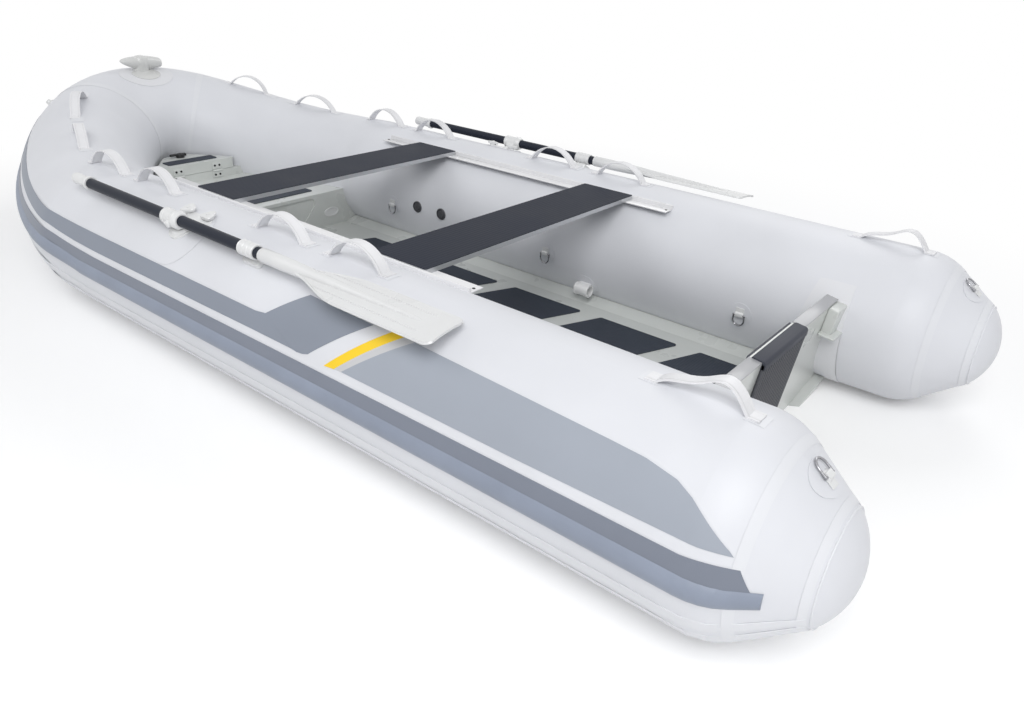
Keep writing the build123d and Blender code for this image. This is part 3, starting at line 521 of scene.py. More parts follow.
# Hull, deck liner, transom, bow step and locker: glass-fibre mouldings in off-white
# gelcoat, bonded to each other and to the tubes.
def gelcoat(name, colour):
    """Polished gelcoat: glossy under a thin clear coat, with a faint ripple from the mould."""
    paint, _, ripple = clouded_paint(name, colour, (9.0, 3.0), (0.3, 0.7), (0.97, 1.02), (0.22, 0.36))
    shader = paint.node_tree.nodes["Principled BSDF"]
    shader.inputs["Coat Weight"].default_value = 0.35
    shader.inputs["Coat Roughness"].default_value = 0.12
    raise_relief(paint, ripple.outputs["Fac"], 0.06, 0.0003)
    return paint


hull_gelcoat = gelcoat("hull_gelcoat", (0.60, 0.62, 0.60))
for node in ("hull_shell", "deck", "transom", "transom_knees", "bow_step", "locker_body", "locker_lid"):
    dress(node, hull_gelcoat)


# Tread pads: dark closed-cell foam, glued down on the deck, the bow step and the locker's
# lid, with fine grooves across the boat for grip.
def grooved_rubber(name, colour, pitch, depth):
    """Dark rubber or foam with rounded grooves of one pitch and depth across the boat."""
    paint = moulded_rubber(name, colour)
    nodes_of = paint.node_tree.nodes
    nodes_of["Principled BSDF"].inputs["Specular IOR Level"].default_value = 0.08
    place = nodes_of.new("ShaderNodeTexCoord")
    grooves = nodes_of.new("ShaderNodeTexWave")
    grooves.wave_type = "BANDS"
    grooves.bands_direction = "X"
    grooves.inputs["Scale"].default_value = pi / 10.0 / pitch
    grooves.inputs["Distortion"].default_value = 0.0
    paint.node_tree.links.new(place.outputs["Object"], grooves.inputs["Vector"])
    raise_relief(paint, grooves.outputs["Fac"], 0.5, depth)
    return paint


tread_foam = grooved_rubber("tread_foam", (0.046, 0.054, 0.071), 0.009, 0.0006)
for node in ("deck_pads", "step_pad", "lid_pad"):
    dress(node, tread_foam)

# Benches: a marine-ply plank with a dark ribbed top skin, edged in anodised aluminium.
# They slide along the rails, so the skin's edge is found by height alone.
bench_skin_z = 0.4516
bench_skin = grooved_rubber("bench_skin", (0.025, 0.029, 0.042), 0.012, 0.0004)
tree = bench_skin.node_tree
skin_shader = tree.nodes["Principled BSDF"]
skin_shader.inputs["Specular IOR Level"].default_value = 0.04
edging = tree.nodes.new("ShaderNodeBsdfPrincipled")
edging.inputs["Base Color"].default_value = (0.55, 0.56, 0.58, 1.0)
edging.inputs["Metallic"].default_value = 0.8
edging.inputs["Roughness"].default_value = 0.38
height = tree.nodes.new("ShaderNodeSeparateXYZ")
above = tree.nodes.new("ShaderNodeMath")
above.operation = "GREATER_THAN"
above.inputs[1].default_value = bench_skin_z
either_finish = tree.nodes.new("ShaderNodeMixShader")
tree.links.new(tree.nodes["Texture Coordinate"].outputs["Object"], height.inputs["Vector"])
tree.links.new(height.outputs["Z"], above.inputs[0])
tree.links.new(above.outputs[0], either_finish.inputs[0])
tree.links.new(edging.outputs[0], either_finish.inputs[1])
tree.links.new(skin_shader.outputs[0], either_finish.inputs[2])
tree.links.new(either_finish.outputs[0], tree.nodes["Material Output"].inputs["Surface"])
for node in ("bench_fore", "bench_aft"):
    dress(node, bench_skin)

# Transom fittings. Both faces carry a rubber pad for the outboard motor: the after one is
# ribbed and reaches down the face, and a rounded cap folds over the top edge.
transom_thickness = 0.035
transom_top_z = 0.335
transom_rake = radians(8.0)
motor_pad_width = 0.278
outer_pad_height = 0.275
outer_pad_thickness = 0.010
rib_height = 0.0045
rib_pitch = 0.0165
rib_width = 0.0080
rib_side_margin = 0.020
rib_end_margin = 0.030
rim_width = 0.005
cap_height = 0.024


def placed_block(name, size, place):
    """Box of one size at one place, alone in the selection."""
    bpy.ops.object.select_all(action="DESELECT")
    bpy.ops.mesh.primitive_cube_add(size=1.0, location=place)
    block = bpy.context.object
    block.name = name
    block.scale = size
    bpy.ops.object.transform_apply(location=True, rotation=False, scale=True)
    return block


def rounded(piece, width, segments=3, test=None):
    """Round the edges whose middle and direction pass a test, or all of them."""
    alone(piece)
    bpy.ops.object.mode_set(mode="EDIT")
    bpy.ops.mesh.select_mode(type="EDGE")
    bpy.ops.mesh.select_all(action="DESELECT")
    bpy.ops.object.mode_set(mode="OBJECT")
    points = piece.data.vertices
    for edge in piece.data.edges:
        start, end = points[edge.vertices[0]].co, points[edge.vertices[1]].co
        edge.select = test is None or test((start + end) / 2, (end - start).normalized())
    bpy.ops.object.mode_set(mode="EDIT")
    bpy.ops.mesh.bevel(offset=width, segments=segments, affect="EDGES", clamp_overlap=True)
    bpy.ops.mesh.select_mode(type="VERT")
    bpy.ops.object.mode_set(mode="OBJECT")


def repeated(piece, count, step):
    """Repeat a piece along a step and keep it one mesh."""
    alone(piece)
    row = piece.modifiers.new("row", "ARRAY")
    row.count = count
    row.use_relative_offset = False
    row.use_constant_offset = True
    row.constant_offset_displace = step
    bpy.ops.object.modifier_apply(modifier="row")


def joined(name, pieces_to_join):
    """Join pieces of one material into one object."""
    bpy.ops.object.select_all(action="DESELECT")
    for piece in pieces_to_join:
        piece.select_set(True)
    bpy.context.view_layer.objects.active = pieces_to_join[0]
    bpy.ops.object.join()
    whole = bpy.context.object
    whole.name = name
    return whole


def lean_on_transom(piece):
    """Lean an upright piece, made with its face at x = 0, onto the raked transom's top edge."""
    piece.matrix_world = Matrix.Translation((transom_thickness / 2, 0.0, transom_top_z)) @ Matrix.Rotation(
        -transom_rake, 4, "Y"
    )


pad_rubber = moulded_rubber("pad_rubber", (0.060, 0.064, 0.080))
pad_rubber.node_tree.nodes["Principled BSDF"].inputs["Specular IOR Level"].default_value = 0.12
dress("motor_pad_inner", pad_rubber)
pad_aft = -transom_thickness - outer_pad_thickness
plate_thickness = outer_pad_thickness - rib_height
plate = placed_block(
    "plate",
    (plate_thickness, motor_pad_width, outer_pad_height),
    (-transom_thickness - plate_thickness / 2, 0.0, -outer_pad_height / 2),
)
rounded(plate, 0.002)
rib_count = int((motor_pad_width - rib_side_margin) / rib_pitch) + 1
rib = placed_block(
    "rib",
    (0.006, rib_width, outer_pad_height - rib_end_margin),
    (pad_aft + 0.0030, -(rib_count - 1) * rib_pitch / 2, -outer_pad_height / 2 - 0.006),
)
rounded(rib, 0.0022)
repeated(rib, rib_count, (0.0, rib_pitch, 0.0))
rim = placed_block(
    "rim",
    (0.009, rim_width, outer_pad_height - 0.004),
    (pad_aft + 0.0046, (rim_width - motor_pad_width) / 2, -outer_pad_height / 2),
)
rounded(rim, 0.0018, 2)
repeated(rim, 2, (0.0, motor_pad_width - rim_width, 0.0))
ribbed_pad = joined("motor_pad_ribbed", [plate, rib, rim])
lean_on_transom(ribbed_pad)
ribbed_rubber = moulded_rubber("ribbed_rubber", (0.085, 0.088, 0.100))
finished(ribbed_pad, ribbed_rubber, "hull")

cap_depth = transom_thickness + outer_pad_thickness - 0.002
pad_cap = placed_block(
    "motor_pad_cap",
    (cap_depth, motor_pad_width, cap_height),
    (-0.0035 - cap_depth / 2, 0.0, -cap_height / 4),
)
rounded(pad_cap, 0.010, 5, lambda middle, along: abs(along.y) > 0.9 and middle.z > 0.0)
rounded(pad_cap, 0.0015, 2, lambda middle, along: abs(middle.y) > 0.9 * motor_pad_width / 2)
lean_on_transom(pad_cap)
finished(pad_cap, pad_rubber, "hull")
for piece in (ribbed_pad, pad_cap):
    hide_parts("motor_pad_outer")

# A grey strip over the rest of the transom's top edge, on each side of the motor pad, is painted shade: it
# darkens the top face that the lamps light bright.
painted_shade_grey = gelcoat("painted_shade_grey", (0.36, 0.365, 0.38))
top_shade_strip_length = 0.281
top_shade_strip = placed_block(
    "top_shade_strip",
    (transom_thickness + 0.001, top_shade_strip_length, 0.003),
    (-transom_thickness / 2, (motor_pad_width + top_shade_strip_length) / 2 + 0.001, 0.0012),
)
rounded(top_shade_strip, 0.001, 2)
lean_on_transom(top_shade_strip)
in_pairs(top_shade_strip, painted_shade_grey, "hull")

# Knees: a moulded box behind each end of the transom, glued to the tube, with a ledge
# along its foot. Round it the tube carries a cut patch, from which a tape runs on below.
knee_reach = 0.075
knee_height = 0.082
knee_depth = 0.045
knee_drop = 0.012
knee_middle_z = transom_top_z - knee_drop - knee_height / 2
knee_skin_y = tube_axis_y - sqrt(tube_radius**2 - (knee_middle_z - tube_axis_z) ** 2)
knee_y = knee_skin_y + (0.040 - knee_reach) / 2
web = placed_block(
    "web",
    (knee_depth - 0.014, knee_reach + 0.025, knee_height),
    (-transom_thickness - knee_depth / 2 + 0.007, knee_y + 0.008, -knee_height / 2 - 0.002),
)
rounded(web, 0.004)
ledge = placed_block(
    "ledge",
    (knee_depth + 0.004, knee_reach + 0.042, 0.007),
    (-transom_thickness - knee_depth / 2 - 0.002, knee_y, 0.001 - knee_height),
)
rounded(ledge, 0.003)
knee = joined("knee", [web, ledge])
lean_on_transom(knee)
for piece in in_pairs(knee, hull_gelcoat, "hull"):
    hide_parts("transom_knees")
patch_white = coated_fabric("patch_white", (0.745, 0.75, 0.775))
patch_aft_x = -0.052
patch_top_angle = 142.7
patch_foot_angle = 222.0
patch_thick = 0.0020
tape_fore_x = -0.012
glued_panel(
    "transom_patch",
    [
        (at_x(patch_aft_x), patch_top_angle),
        (at_x(0.030), patch_top_angle),
        (at_x(0.052), 143.2),
        (at_x(0.105), 204.0),
    ],
    [(at_x(x), patch_foot_angle) for x in (patch_aft_x, 0.030, 0.055, 0.110)],
    (60, 40),
    patch_white,
    thick=patch_thick,
)
glued_panel(
    "transom_tape",
    [(at_x(patch_aft_x), 180.0), (at_x(tape_fore_x), 180.0)],
    [(at_x(patch_aft_x), 262.0), (at_x(tape_fore_x), 262.0)],
    (4, 80),
    patch_white,
    thick=patch_thick,
)

# Locker fittings: a moulded strip under the lid's lip, a hinge at each side whose upper leaf
# turns with the lid, four screws to a hinge, and a black turn latch with a long handle.
locker_aft_x = 2.605
lid_z = 0.239
lid_top_z = 0.283
lid_fore_x = 2.765
hinge_pitch = 0.180
hinge_screw_gap = 0.022
screw_thick = 0.0030
black_plastic = moulded_rubber("black_plastic", (0.016, 0.016, 0.018))
white_plastic = gelcoat("white_plastic", (0.74, 0.745, 0.745))
hinge_paint = gelcoat("hinge_paint", (0.62, 0.64, 0.62))
dress("locker_hinges", hinge_paint)


def placed_disc(name, vertices, radius, depth, place, lying=False):
    """Cylinder of one size at one place, upright or lying along X, alone in the selection."""
    bpy.ops.object.select_all(action="DESELECT")
    turn = (0.0, pi / 2, 0.0) if lying else (0.0, 0.0, 0.0)
    bpy.ops.mesh.primitive_cylinder_add(
        vertices=vertices, radius=radius, depth=depth, location=place, rotation=turn
    )
    disc = bpy.context.object
    disc.name = name
    return disc


def pick_faces(piece, test):
    """Open a piece for editing with only the faces that pass a test selected."""
    alone(piece)
    bpy.ops.object.mode_set(mode="EDIT")
    bpy.ops.mesh.select_mode(type="FACE")
    bpy.ops.mesh.select_all(action="DESELECT")
    bpy.ops.object.mode_set(mode="OBJECT")
    for face in piece.data.polygons:
        face.select = test(face)
    bpy.ops.object.mode_set(mode="EDIT")


def screw_pair(name, middle, body):
    """Two countersunk screw heads of one hinge leaf, side by side and facing aft."""
    heads = []
    for side in (-1, 1):
        place = (middle[0], middle[1] + side * hinge_screw_gap / 2, middle[2])
        head = baked(placed_disc("head", 24, 0.0046, screw_thick, place, lying=True))
        pick_faces(head, lambda face: len(face.vertices) > 4)
        bpy.ops.mesh.inset(thickness=0.0012, depth=-0.0006)
        bpy.ops.mesh.select_mode(type="VERT")
        bpy.ops.object.mode_set(mode="OBJECT")
        heads.append(head)
    finished(joined(name, heads), black_plastic, body)


for side, tag in ((1, "port"), (-1, "starboard")):
    leaf = placed_block(
        f"hinge_leaf_{tag}",
        (0.0026, 0.044, 0.028),
        (locker_aft_x - 0.0016, side * hinge_pitch / 2, lid_z + 0.019),
    )
    rounded(leaf, 0.0008, 2)
    finished(leaf, hinge_paint, "locker_lid")
    screw_pair(
        f"hinge_lid_screws_{tag}",
        (locker_aft_x - 0.0032, side * hinge_pitch / 2, lid_z + 0.021),
        "locker_lid",
    )
    screw_pair(
        f"hinge_body_screws_{tag}",
        (locker_aft_x - 0.0038, side * hinge_pitch / 2, lid_z - 0.019),
        "hull",
    )
lip = placed_block("lid_lip", (0.0016, 0.330, 0.0030), (locker_aft_x - 0.0006, 0.0, lid_z + 0.0025))
rounded(lip, 0.0006, 2)
finished(lip, hull_gelcoat, "locker_lid")

latch_x = lid_fore_x - 0.030
knob = placed_disc("knob", 40, 0.017, 0.016, (latch_x, 0.0, lid_top_z + 0.008))
rounded(knob, 0.003, 3, lambda middle, along: abs(along.z) < 0.5 and middle.z > 0.0)
lever = placed_block("lever", (0.014, 0.052, 0.010), (latch_x, 0.022, lid_top_z + 0.013))
rounded(lever, 0.0042, 4)
stub = placed_block("stub", (0.018, 0.022, 0.012), (latch_x, -0.016, lid_top_z + 0.011))
rounded(stub, 0.005, 4)
latch = joined("latch", [knob, lever, stub])
finished(latch, black_plastic, "locker_lid")
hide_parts("lid_latch")

# Bow step drain: an oval of white plastic, bonded into the after face of the moulded step to
# starboard of its sunk panel.
step_aft_x = 2.120
drain_y = -0.314
drain_z = 0.115
drain = placed_disc("step_drain", 48, 0.020, 0.006, (step_aft_x, drain_y, drain_z), lying=True)
bpy.ops.object.transform_apply(location=False, rotation=True, scale=True)
drain.scale = (1.0, 1.9, 1.0)
baked(drain)
pick_faces(drain, lambda face: face.normal.x < -0.9)
bpy.ops.mesh.inset(thickness=0.005)
bpy.ops.mesh.extrude_region_move(TRANSFORM_OT_translate={"value": (0.0025, 0.0, 0.0)})
bpy.ops.mesh.select_mode(type="VERT")
bpy.ops.object.mode_set(mode="OBJECT")
finished(drain, white_plastic, "hull")

# Bench rails: an extruded white angle glued along each tube. Its thin web stands level off the
# tube's shoulder to carry the benches, and its outboard lip keeps them from shifting.
rail_aft_x = 0.595
rail_fore_x = 1.937
rail_inner_y = 0.455
rail_outer_y = 0.508
rail_floor_z = 0.438
rail_lip_top_z = 0.451
rail_web = 0.0035
rail_lip = 0.008
rail_lip_height = 0.026
rail_screw_y = 0.478
rail_length = rail_fore_x - rail_aft_x
rail_middle_x = (rail_aft_x + rail_fore_x) / 2
rail_paint = gelcoat("rail_paint", (0.78, 0.78, 0.79))
web = placed_block(
    "web",
    (rail_length, rail_outer_y - rail_inner_y, rail_web),
    (rail_middle_x, (rail_inner_y + rail_outer_y) / 2, rail_floor_z - rail_web / 2),
)
rounded(web, 0.0010, 2)
lip = placed_block(
    "lip",
    (rail_length, rail_lip, rail_lip_height),
    (rail_middle_x, rail_outer_y - rail_lip / 2, rail_lip_top_z - rail_lip_height / 2),
)
rounded(lip, 0.0015)
rails = in_pairs(joined("bench_rail", [web, lip]), rail_paint, "hull")
for piece, node in zip(rails, ("rail_port", "rail_starboard")):
    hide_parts(node)
# One screw through the web near each end, clear of the benches' travel.
for end, x in (("aft", 0.606), ("fore", 1.926)):
    screw = placed_disc(f"rail_screw_{end}", 24, 0.0042, screw_thick, (x, rail_screw_y, rail_floor_z))
    rounded(screw, 0.0008, 2)
    in_pairs(screw, black_plastic, "hull")

# Grab handles: moulded white webbing with a raised bead along each edge, its feet welded
# to square patches on the crown of the tube.
webbing_width = 0.035
foot_near_share = 0.74
foot_far_share = 1.10
foot_low_angle = 84.5
foot_high_angle = 95.5


def webbing(name, station):
    """White webbing whose beads run along the tube at one station, on both sides of the boat."""
    paint = moulded_rubber(name, (0.80, 0.80, 0.815))
    nodes_of = paint.node_tree.nodes
    links = paint.node_tree.links
    centre, outboard, _, _ = tube_ring(station)
    place = nodes_of.new("ShaderNodeTexCoord")
    parts = nodes_of.new("ShaderNodeSeparateXYZ")
    same_side = nodes_of.new("ShaderNodeMath")
    same_side.operation = "ABSOLUTE"
    folded = nodes_of.new("ShaderNodeCombineXYZ")
    from_middle = nodes_of.new("ShaderNodeVectorMath")
    from_middle.operation = "SUBTRACT"
    from_middle.inputs[1].default_value = centre
    across = nodes_of.new("ShaderNodeVectorMath")
    across.operation = "DOT_PRODUCT"
    across.inputs[1].default_value = outboard
    off_middle = nodes_of.new("ShaderNodeMath")
    off_middle.operation = "ABSOLUTE"
    bead = nodes_of.new("ShaderNodeValToRGB")
    bead.color_ramp.interpolation = "EASE"
    for position, level in ((0.0, 0.0), (0.62, 0.0), (0.72, 1.0), (0.90, 1.0)):
        stop = bead.color_ramp.elements.new(position)
        stop.color = (level, level, level, 1.0)
    share = nodes_of.new("ShaderNodeMath")
    share.operation = "DIVIDE"
    share.inputs[1].default_value = webbing_width / 2
    links.new(place.outputs["Object"], parts.inputs["Vector"])
    links.new(parts.outputs["X"], folded.inputs["X"])
    links.new(parts.outputs["Y"], same_side.inputs[0])
    links.new(same_side.outputs[0], folded.inputs["Y"])
    links.new(parts.outputs["Z"], folded.inputs["Z"])
    links.new(folded.outputs[0], from_middle.inputs[0])
    links.new(from_middle.outputs["Vector"], across.inputs[0])
    links.new(across.outputs["Value"], off_middle.inputs[0])
    links.new(off_middle.outputs[0], share.inputs[0])
    links.new(share.outputs[0], bead.inputs["Fac"])
    raise_relief(paint, bead.outputs["Color"], 0.8, 0.0016)
    return paint


# Each handle: node, station of its middle and half its length over the feet, in stations.
for node, station, half in (
    ("handles_bow", 56.5, 8.7),
    ("handles_shoulder", 33.5, 9.0),
    ("handles_fore", at_x(2.084), 0.1175),
    ("handles_locker", at_x(1.792), 0.1175),
    ("handles_mid", at_x(1.172), 0.1175),
    ("handles_after", at_x(0.870), 0.1175),
    ("handles_stern", at_x(-0.080), 0.1175),
):
    dress(node, webbing(f"{node}_webbing", station))
    near = half * foot_near_share
    far = half * foot_far_share
    for end, low, high in (("fore", station + near, station + far), ("aft", station - far, station - near)):
        glued_panel(
            f"{node}_foot_{end}",
            [(low, foot_low_angle), (high, foot_low_angle)],
            [(low, foot_high_angle), (high, foot_high_angle)],
            (6, 8),
            tape_white,
            thick=0.0005,
        )

# D-rings: stainless wire held by a white tab on a round fabric patch. Three hang inside each
# tube, and one lies up the slope of each stern cone.
ring_radius = 0.018
ring_wire = 0.0026
ring_drop = 0.017
ring_angle = 188.0
cone_ring_x = -0.322
cone_ring_angle = 95.0
ring_patch_radius = 0.038
ring_lift = 0.0012
patch_gap = 0.0004
along_tube = Vector((1.0, 0.0, 0.0))
steel = bpy.data.materials.new("ring_steel")
steel.use_nodes = True
tree = steel.node_tree
shader = tree.nodes["Principled BSDF"]
shader.inputs["Metallic"].default_value = 1.0
shader.inputs["Base Color"].default_value = (0.36, 0.36, 0.38, 1.0)
place = tree.nodes.new("ShaderNodeTexCoord")
scratch = tree.nodes.new("ShaderNodeTexNoise")
scratch.inputs["Scale"].default_value = 240.0
polish = tree.nodes.new("ShaderNodeMapRange")
polish.inputs["To Min"].default_value = 0.12
polish.inputs["To Max"].default_value = 0.30
tree.links.new(place.outputs["Object"], scratch.inputs["Vector"])
tree.links.new(scratch.outputs["Fac"], polish.inputs["Value"])
tree.links.new(polish.outputs["Result"], shader.inputs["Roughness"])


def out_of_tube(angle):
    """Direction out of the straight tube's skin, by degrees up from outboard."""
    return Vector((0.0, cos(radians(angle)), sin(radians(angle))))


def standing(x_dir, normal, foot):
    """Matrix that stands a piece, made on its own XY plane, on a foot looking along a normal."""
    third = normal.cross(x_dir)
    turn = Matrix((x_dir, third, normal)).transposed()
    return Matrix.Translation(foot) @ turn.to_4x4()


def d_ring(name, across, normal, foot, hang, nodes_replaced):
    """Steel D and its tab at a foot: across the strap, out of the skin, the way the D hangs."""
    bpy.ops.object.select_all(action="DESELECT")
    bpy.ops.mesh.primitive_torus_add(
        major_segments=48, minor_segments=14, major_radius=ring_radius, minor_radius=ring_wire
    )
    wire = bpy.context.object
    bpy.ops.object.mode_set(mode="EDIT")
    bpy.ops.mesh.select_all(action="SELECT")
    bpy.ops.mesh.bisect(plane_co=(0.0, 0.0001, 0.0), plane_no=(0.0, 1.0, 0.0), clear_outer=True)
    bpy.ops.mesh.select_all(action="SELECT")
    bpy.ops.transform.translate(value=(0.0, -ring_drop, 0.0))
    bpy.ops.mesh.select_mode(type="EDGE")
    bpy.ops.mesh.select_all(action="DESELECT")
    bpy.ops.mesh.select_non_manifold()
    bpy.ops.mesh.extrude_edges_move(TRANSFORM_OT_translate={"value": (0.0, ring_drop, 0.0)})
    bpy.ops.mesh.select_all(action="SELECT")
    bpy.ops.mesh.fill_holes(sides=0)
    bpy.ops.mesh.normals_make_consistent(inside=False)
    bpy.ops.mesh.select_mode(type="VERT")
    bpy.ops.object.mode_set(mode="OBJECT")
    bar_length = 2 * (ring_radius + ring_wire)
    bar = baked(placed_disc("bar", 14, ring_wire, bar_length, (0.0, 0.0, 0.0), lying=True))
    rounded(bar, 0.001, 2, lambda middle, along: abs(along.x) < 0.5)
    wire = joined(name, [wire, bar])
    wire.matrix_world = standing(across, hang, foot + normal * 0.0060)
    replacing = list(in_pairs(wire, steel, "hull"))
    strap = placed_block("strap", (0.026, 0.016, 0.0100), (0.0, 0.0, 0.0050))
    rounded(strap, 0.0042, 4, lambda middle, along: abs(along.x) > 0.9 and middle.z > 0.0)
    tongue = placed_block("tongue", (0.028, 0.034, 0.0022), (0.0, 0.006, 0.0016))
    rounded(tongue, 0.0009, 2)
    tab = joined(f"{name}_tab", [strap, tongue])
    tab.matrix_world = standing(across, normal, foot)
    replacing += in_pairs(tab, white_plastic, "hull")
    for piece in replacing:
        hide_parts(nodes_replaced)


def round_patch(name, x, angle, half_along, half_around, thick=0.0012):
    """Oval patch glued round a place on the straight port tube's skin, and its starboard twin."""
    centre, _, _, radius = tube_ring(at_x(x))
    bpy.ops.object.select_all(action="DESELECT")
    bpy.ops.mesh.primitive_circle_add(vertices=48, radius=1.0, fill_type="TRIFAN")
    patch = bpy.context.object
    patch.name = name
    bpy.ops.object.mode_set(mode="EDIT")
    bpy.ops.mesh.select_all(action="SELECT")
    bpy.ops.mesh.subdivide(number_cuts=3)
    bpy.ops.object.mode_set(mode="OBJECT")
    for corner in patch.data.vertices:
        shift = corner.co.x * half_along
        turn = radians(angle) + corner.co.y * half_around / radius
        reach = skin_radius(x + shift) + patch_gap
        corner.co = centre + Vector((shift, cos(turn) * reach, sin(turn) * reach))
    thickened(patch, thick)
    in_pairs(patch, tube_white, "hull")


for name, x in (("rings_fore", 1.806), ("rings_mid", 1.014), ("rings_aft", 0.257)):
    foot = on_skin(at_x(x), ring_angle, ring_lift)
    hang = Vector((0.0, -1.0, 0.0))
    d_ring(name.replace("rings", "ring"), along_tube, out_of_tube(ring_angle), foot, hang, name)
    round_patch(f"{name}_patch", x, ring_angle, ring_patch_radius, ring_patch_radius)
out = out_of_tube(cone_ring_angle)
cone_normal = out * cos(cone_slope) - Vector((sin(cone_slope), 0.0, 0.0))
cone_across = Vector((0.0, out.z, -out.y))
cone_foot = on_skin(at_x(cone_ring_x), cone_ring_angle) + cone_normal * ring_lift
d_ring("ring_stern", cone_across, cone_normal, cone_foot, cone_normal, "rings_stern")
round_patch(
    "rings_stern_patch",
    cone_ring_x,
    cone_ring_angle,
    ring_patch_radius * cos(cone_slope),
    ring_patch_radius * 1.4,
)

# Stern cones: each flat end cap is welded in, with a round bead along its edge and a narrow
# tape of the tubes' fabric glued over the seam.
cap_tape_aft_x = -0.376
cap_tape_fore_x = -0.362
bpy.ops.object.select_all(action="DESELECT")
bpy.ops.mesh.primitive_torus_add(
    major_segments=96,
    minor_segments=10,
    major_radius=cap_radius + 0.0004,
    minor_radius=0.0022,
    location=(cone_end_x, tube_axis_y, tube_axis_z),
    rotation=(0.0, pi / 2, 0.0),
)
bead = bpy.context.object
bead.name = "cone_bead"
in_pairs(bead, tape_white, "hull")
glued_panel(
    "cap_tape",
    [(at_x(cap_tape_aft_x), wrap_low), (at_x(cap_tape_fore_x), wrap_low)],
    [(at_x(cap_tape_aft_x), wrap_high), (at_x(cap_tape_fore_x), wrap_high)],
    (2, 96),
    tape_white,
)

# Air valves: two on the inner face of each tube, of dark plastic, each a flange clamped
# through the fabric round a sunk, ribbed cap.
valve_angle = 182.0
valve_dark = moulded_rubber("valve_dark", (0.075, 0.077, 0.085))


def turned(name, rings, vertices=48):
    """Round piece on its own Z axis, pulled up ring by ring through (height, radius) pairs."""
    bpy.ops.object.select_all(action="DESELECT")
    bpy.ops.mesh.primitive_circle_add(
        vertices=vertices, radius=rings[0][1], fill_type="TRIFAN", location=(0.0, 0.0, rings[0][0])
    )
    piece = bpy.context.object
    piece.name = name
    bpy.ops.object.transform_apply(location=True, rotation=False, scale=False)
    bpy.ops.object.mode_set(mode="EDIT")
    bpy.ops.mesh.select_all(action="SELECT")
    for (height, radius), (next_height, next_radius) in zip(rings, rings[1:]):
        bpy.ops.mesh.extrude_region_move(
            TRANSFORM_OT_translate={"value": (0.0, 0.0, next_height - height)}
        )
        share = next_radius / radius
        bpy.ops.transform.resize(value=(share, share, 1.0), center_override=(0.0, 0.0, next_height))
    bpy.ops.mesh.select_all(action="SELECT")
    bpy.ops.mesh.normals_make_consistent(inside=False)
    bpy.ops.object.mode_set(mode="OBJECT")
    return piece


def set_on_skin(piece, x, angle, lift=skin_gap, spin=0.0):
    """Stand a piece on the port tube's skin at a place, spun on its own axis, and bake it in."""
    foot = on_skin(at_x(x), angle, lift)
    piece.matrix_world = standing(along_tube, out_of_tube(angle), foot) @ Matrix.Rotation(spin, 4, "Z")
    return baked(piece)


for name, x in (("valve_fore", 1.663), ("valve_after", 1.532)):
    flange = turned(
        "flange",
        [
            (-0.002, 0.0225),
            (0.003, 0.0230),
            (0.0052, 0.0212),
            (0.0052, 0.0182),
            (0.0012, 0.0172),
            (0.0012, 0.0150),
            (0.0050, 0.0142),
            (0.0062, 0.0125),
            (0.0062, 0.0040),
            (0.0050, 0.0030),
        ],
    )
    ribs = []
    for spin in (0.4, 0.4 + pi / 2):
        rib = placed_block("rib", (0.0240, 0.0028, 0.0016), (0.0, 0.0, 0.0066))
        rib.rotation_euler = (0.0, 0.0, spin)
        rounded(rib, 0.0006, 2)
        ribs.append(baked(rib))
    valve = joined(name, [flange, *ribs])
    set_on_skin(valve, x, valve_angle, 0.0)
    for piece in in_pairs(valve, valve_dark, "hull"):
        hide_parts("valves")

# Pole sockets: a white moulded cup lying along each tube inside, open to the stern, with a
# collar at each end and a saddle that holds it to its patch.
socket_x = 0.846
socket_angle = 210.0
socket_length = 0.058
socket_normal = out_of_tube(socket_angle)
socket_foot = on_skin(at_x(socket_x), socket_angle, skin_gap)
cup = turned(
    "cup",
    [
        (0.0, 0.0215),
        (0.0015, 0.0235),
        (0.0070, 0.0235),
        (0.0085, 0.0215),
        (0.0440, 0.0215),
        (0.0455, 0.0240),
        (0.0560, 0.0240),
        (0.0580, 0.0225),
        (0.0580, 0.0185),
        (0.0565, 0.0170),
        (0.0065, 0.0168),
    ],
    64,
)
cup.matrix_world = standing(
    Vector((0.0, 1.0, 0.0)),
    Vector((-1.0, 0.0, 0.0)),
    socket_foot + socket_normal * 0.024 + Vector((socket_length / 2, 0.0, 0.0)),
)
baked(cup)
saddle = placed_block("saddle", (0.044, 0.026, 0.010), (0.0, 0.0, 0.004))
rounded(saddle, 0.002, 2)
set_on_skin(saddle, socket_x, socket_angle)
for piece in in_pairs(joined("pole_socket", [cup, saddle]), white_plastic, "hull"):
    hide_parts("pole_sockets")
round_patch("pole_socket_patch", socket_x, socket_angle, 0.044, 0.044)

# Bow cleat: a moulded mushroom on the stem with two horns, the port one pointed and the
# starboard one blunt, over two patches laid one on the other.
cleat_lean = radians(101.0)
cleat_patch_angle = 111.0
cleat_normal = Vector((cos(cleat_lean), 0.0, sin(cleat_lean)))
cleat_foot = tube_axis(90.0) + cleat_normal * tube_radius
cleat_white = gelcoat("cleat_white", (0.66, 0.665, 0.655))
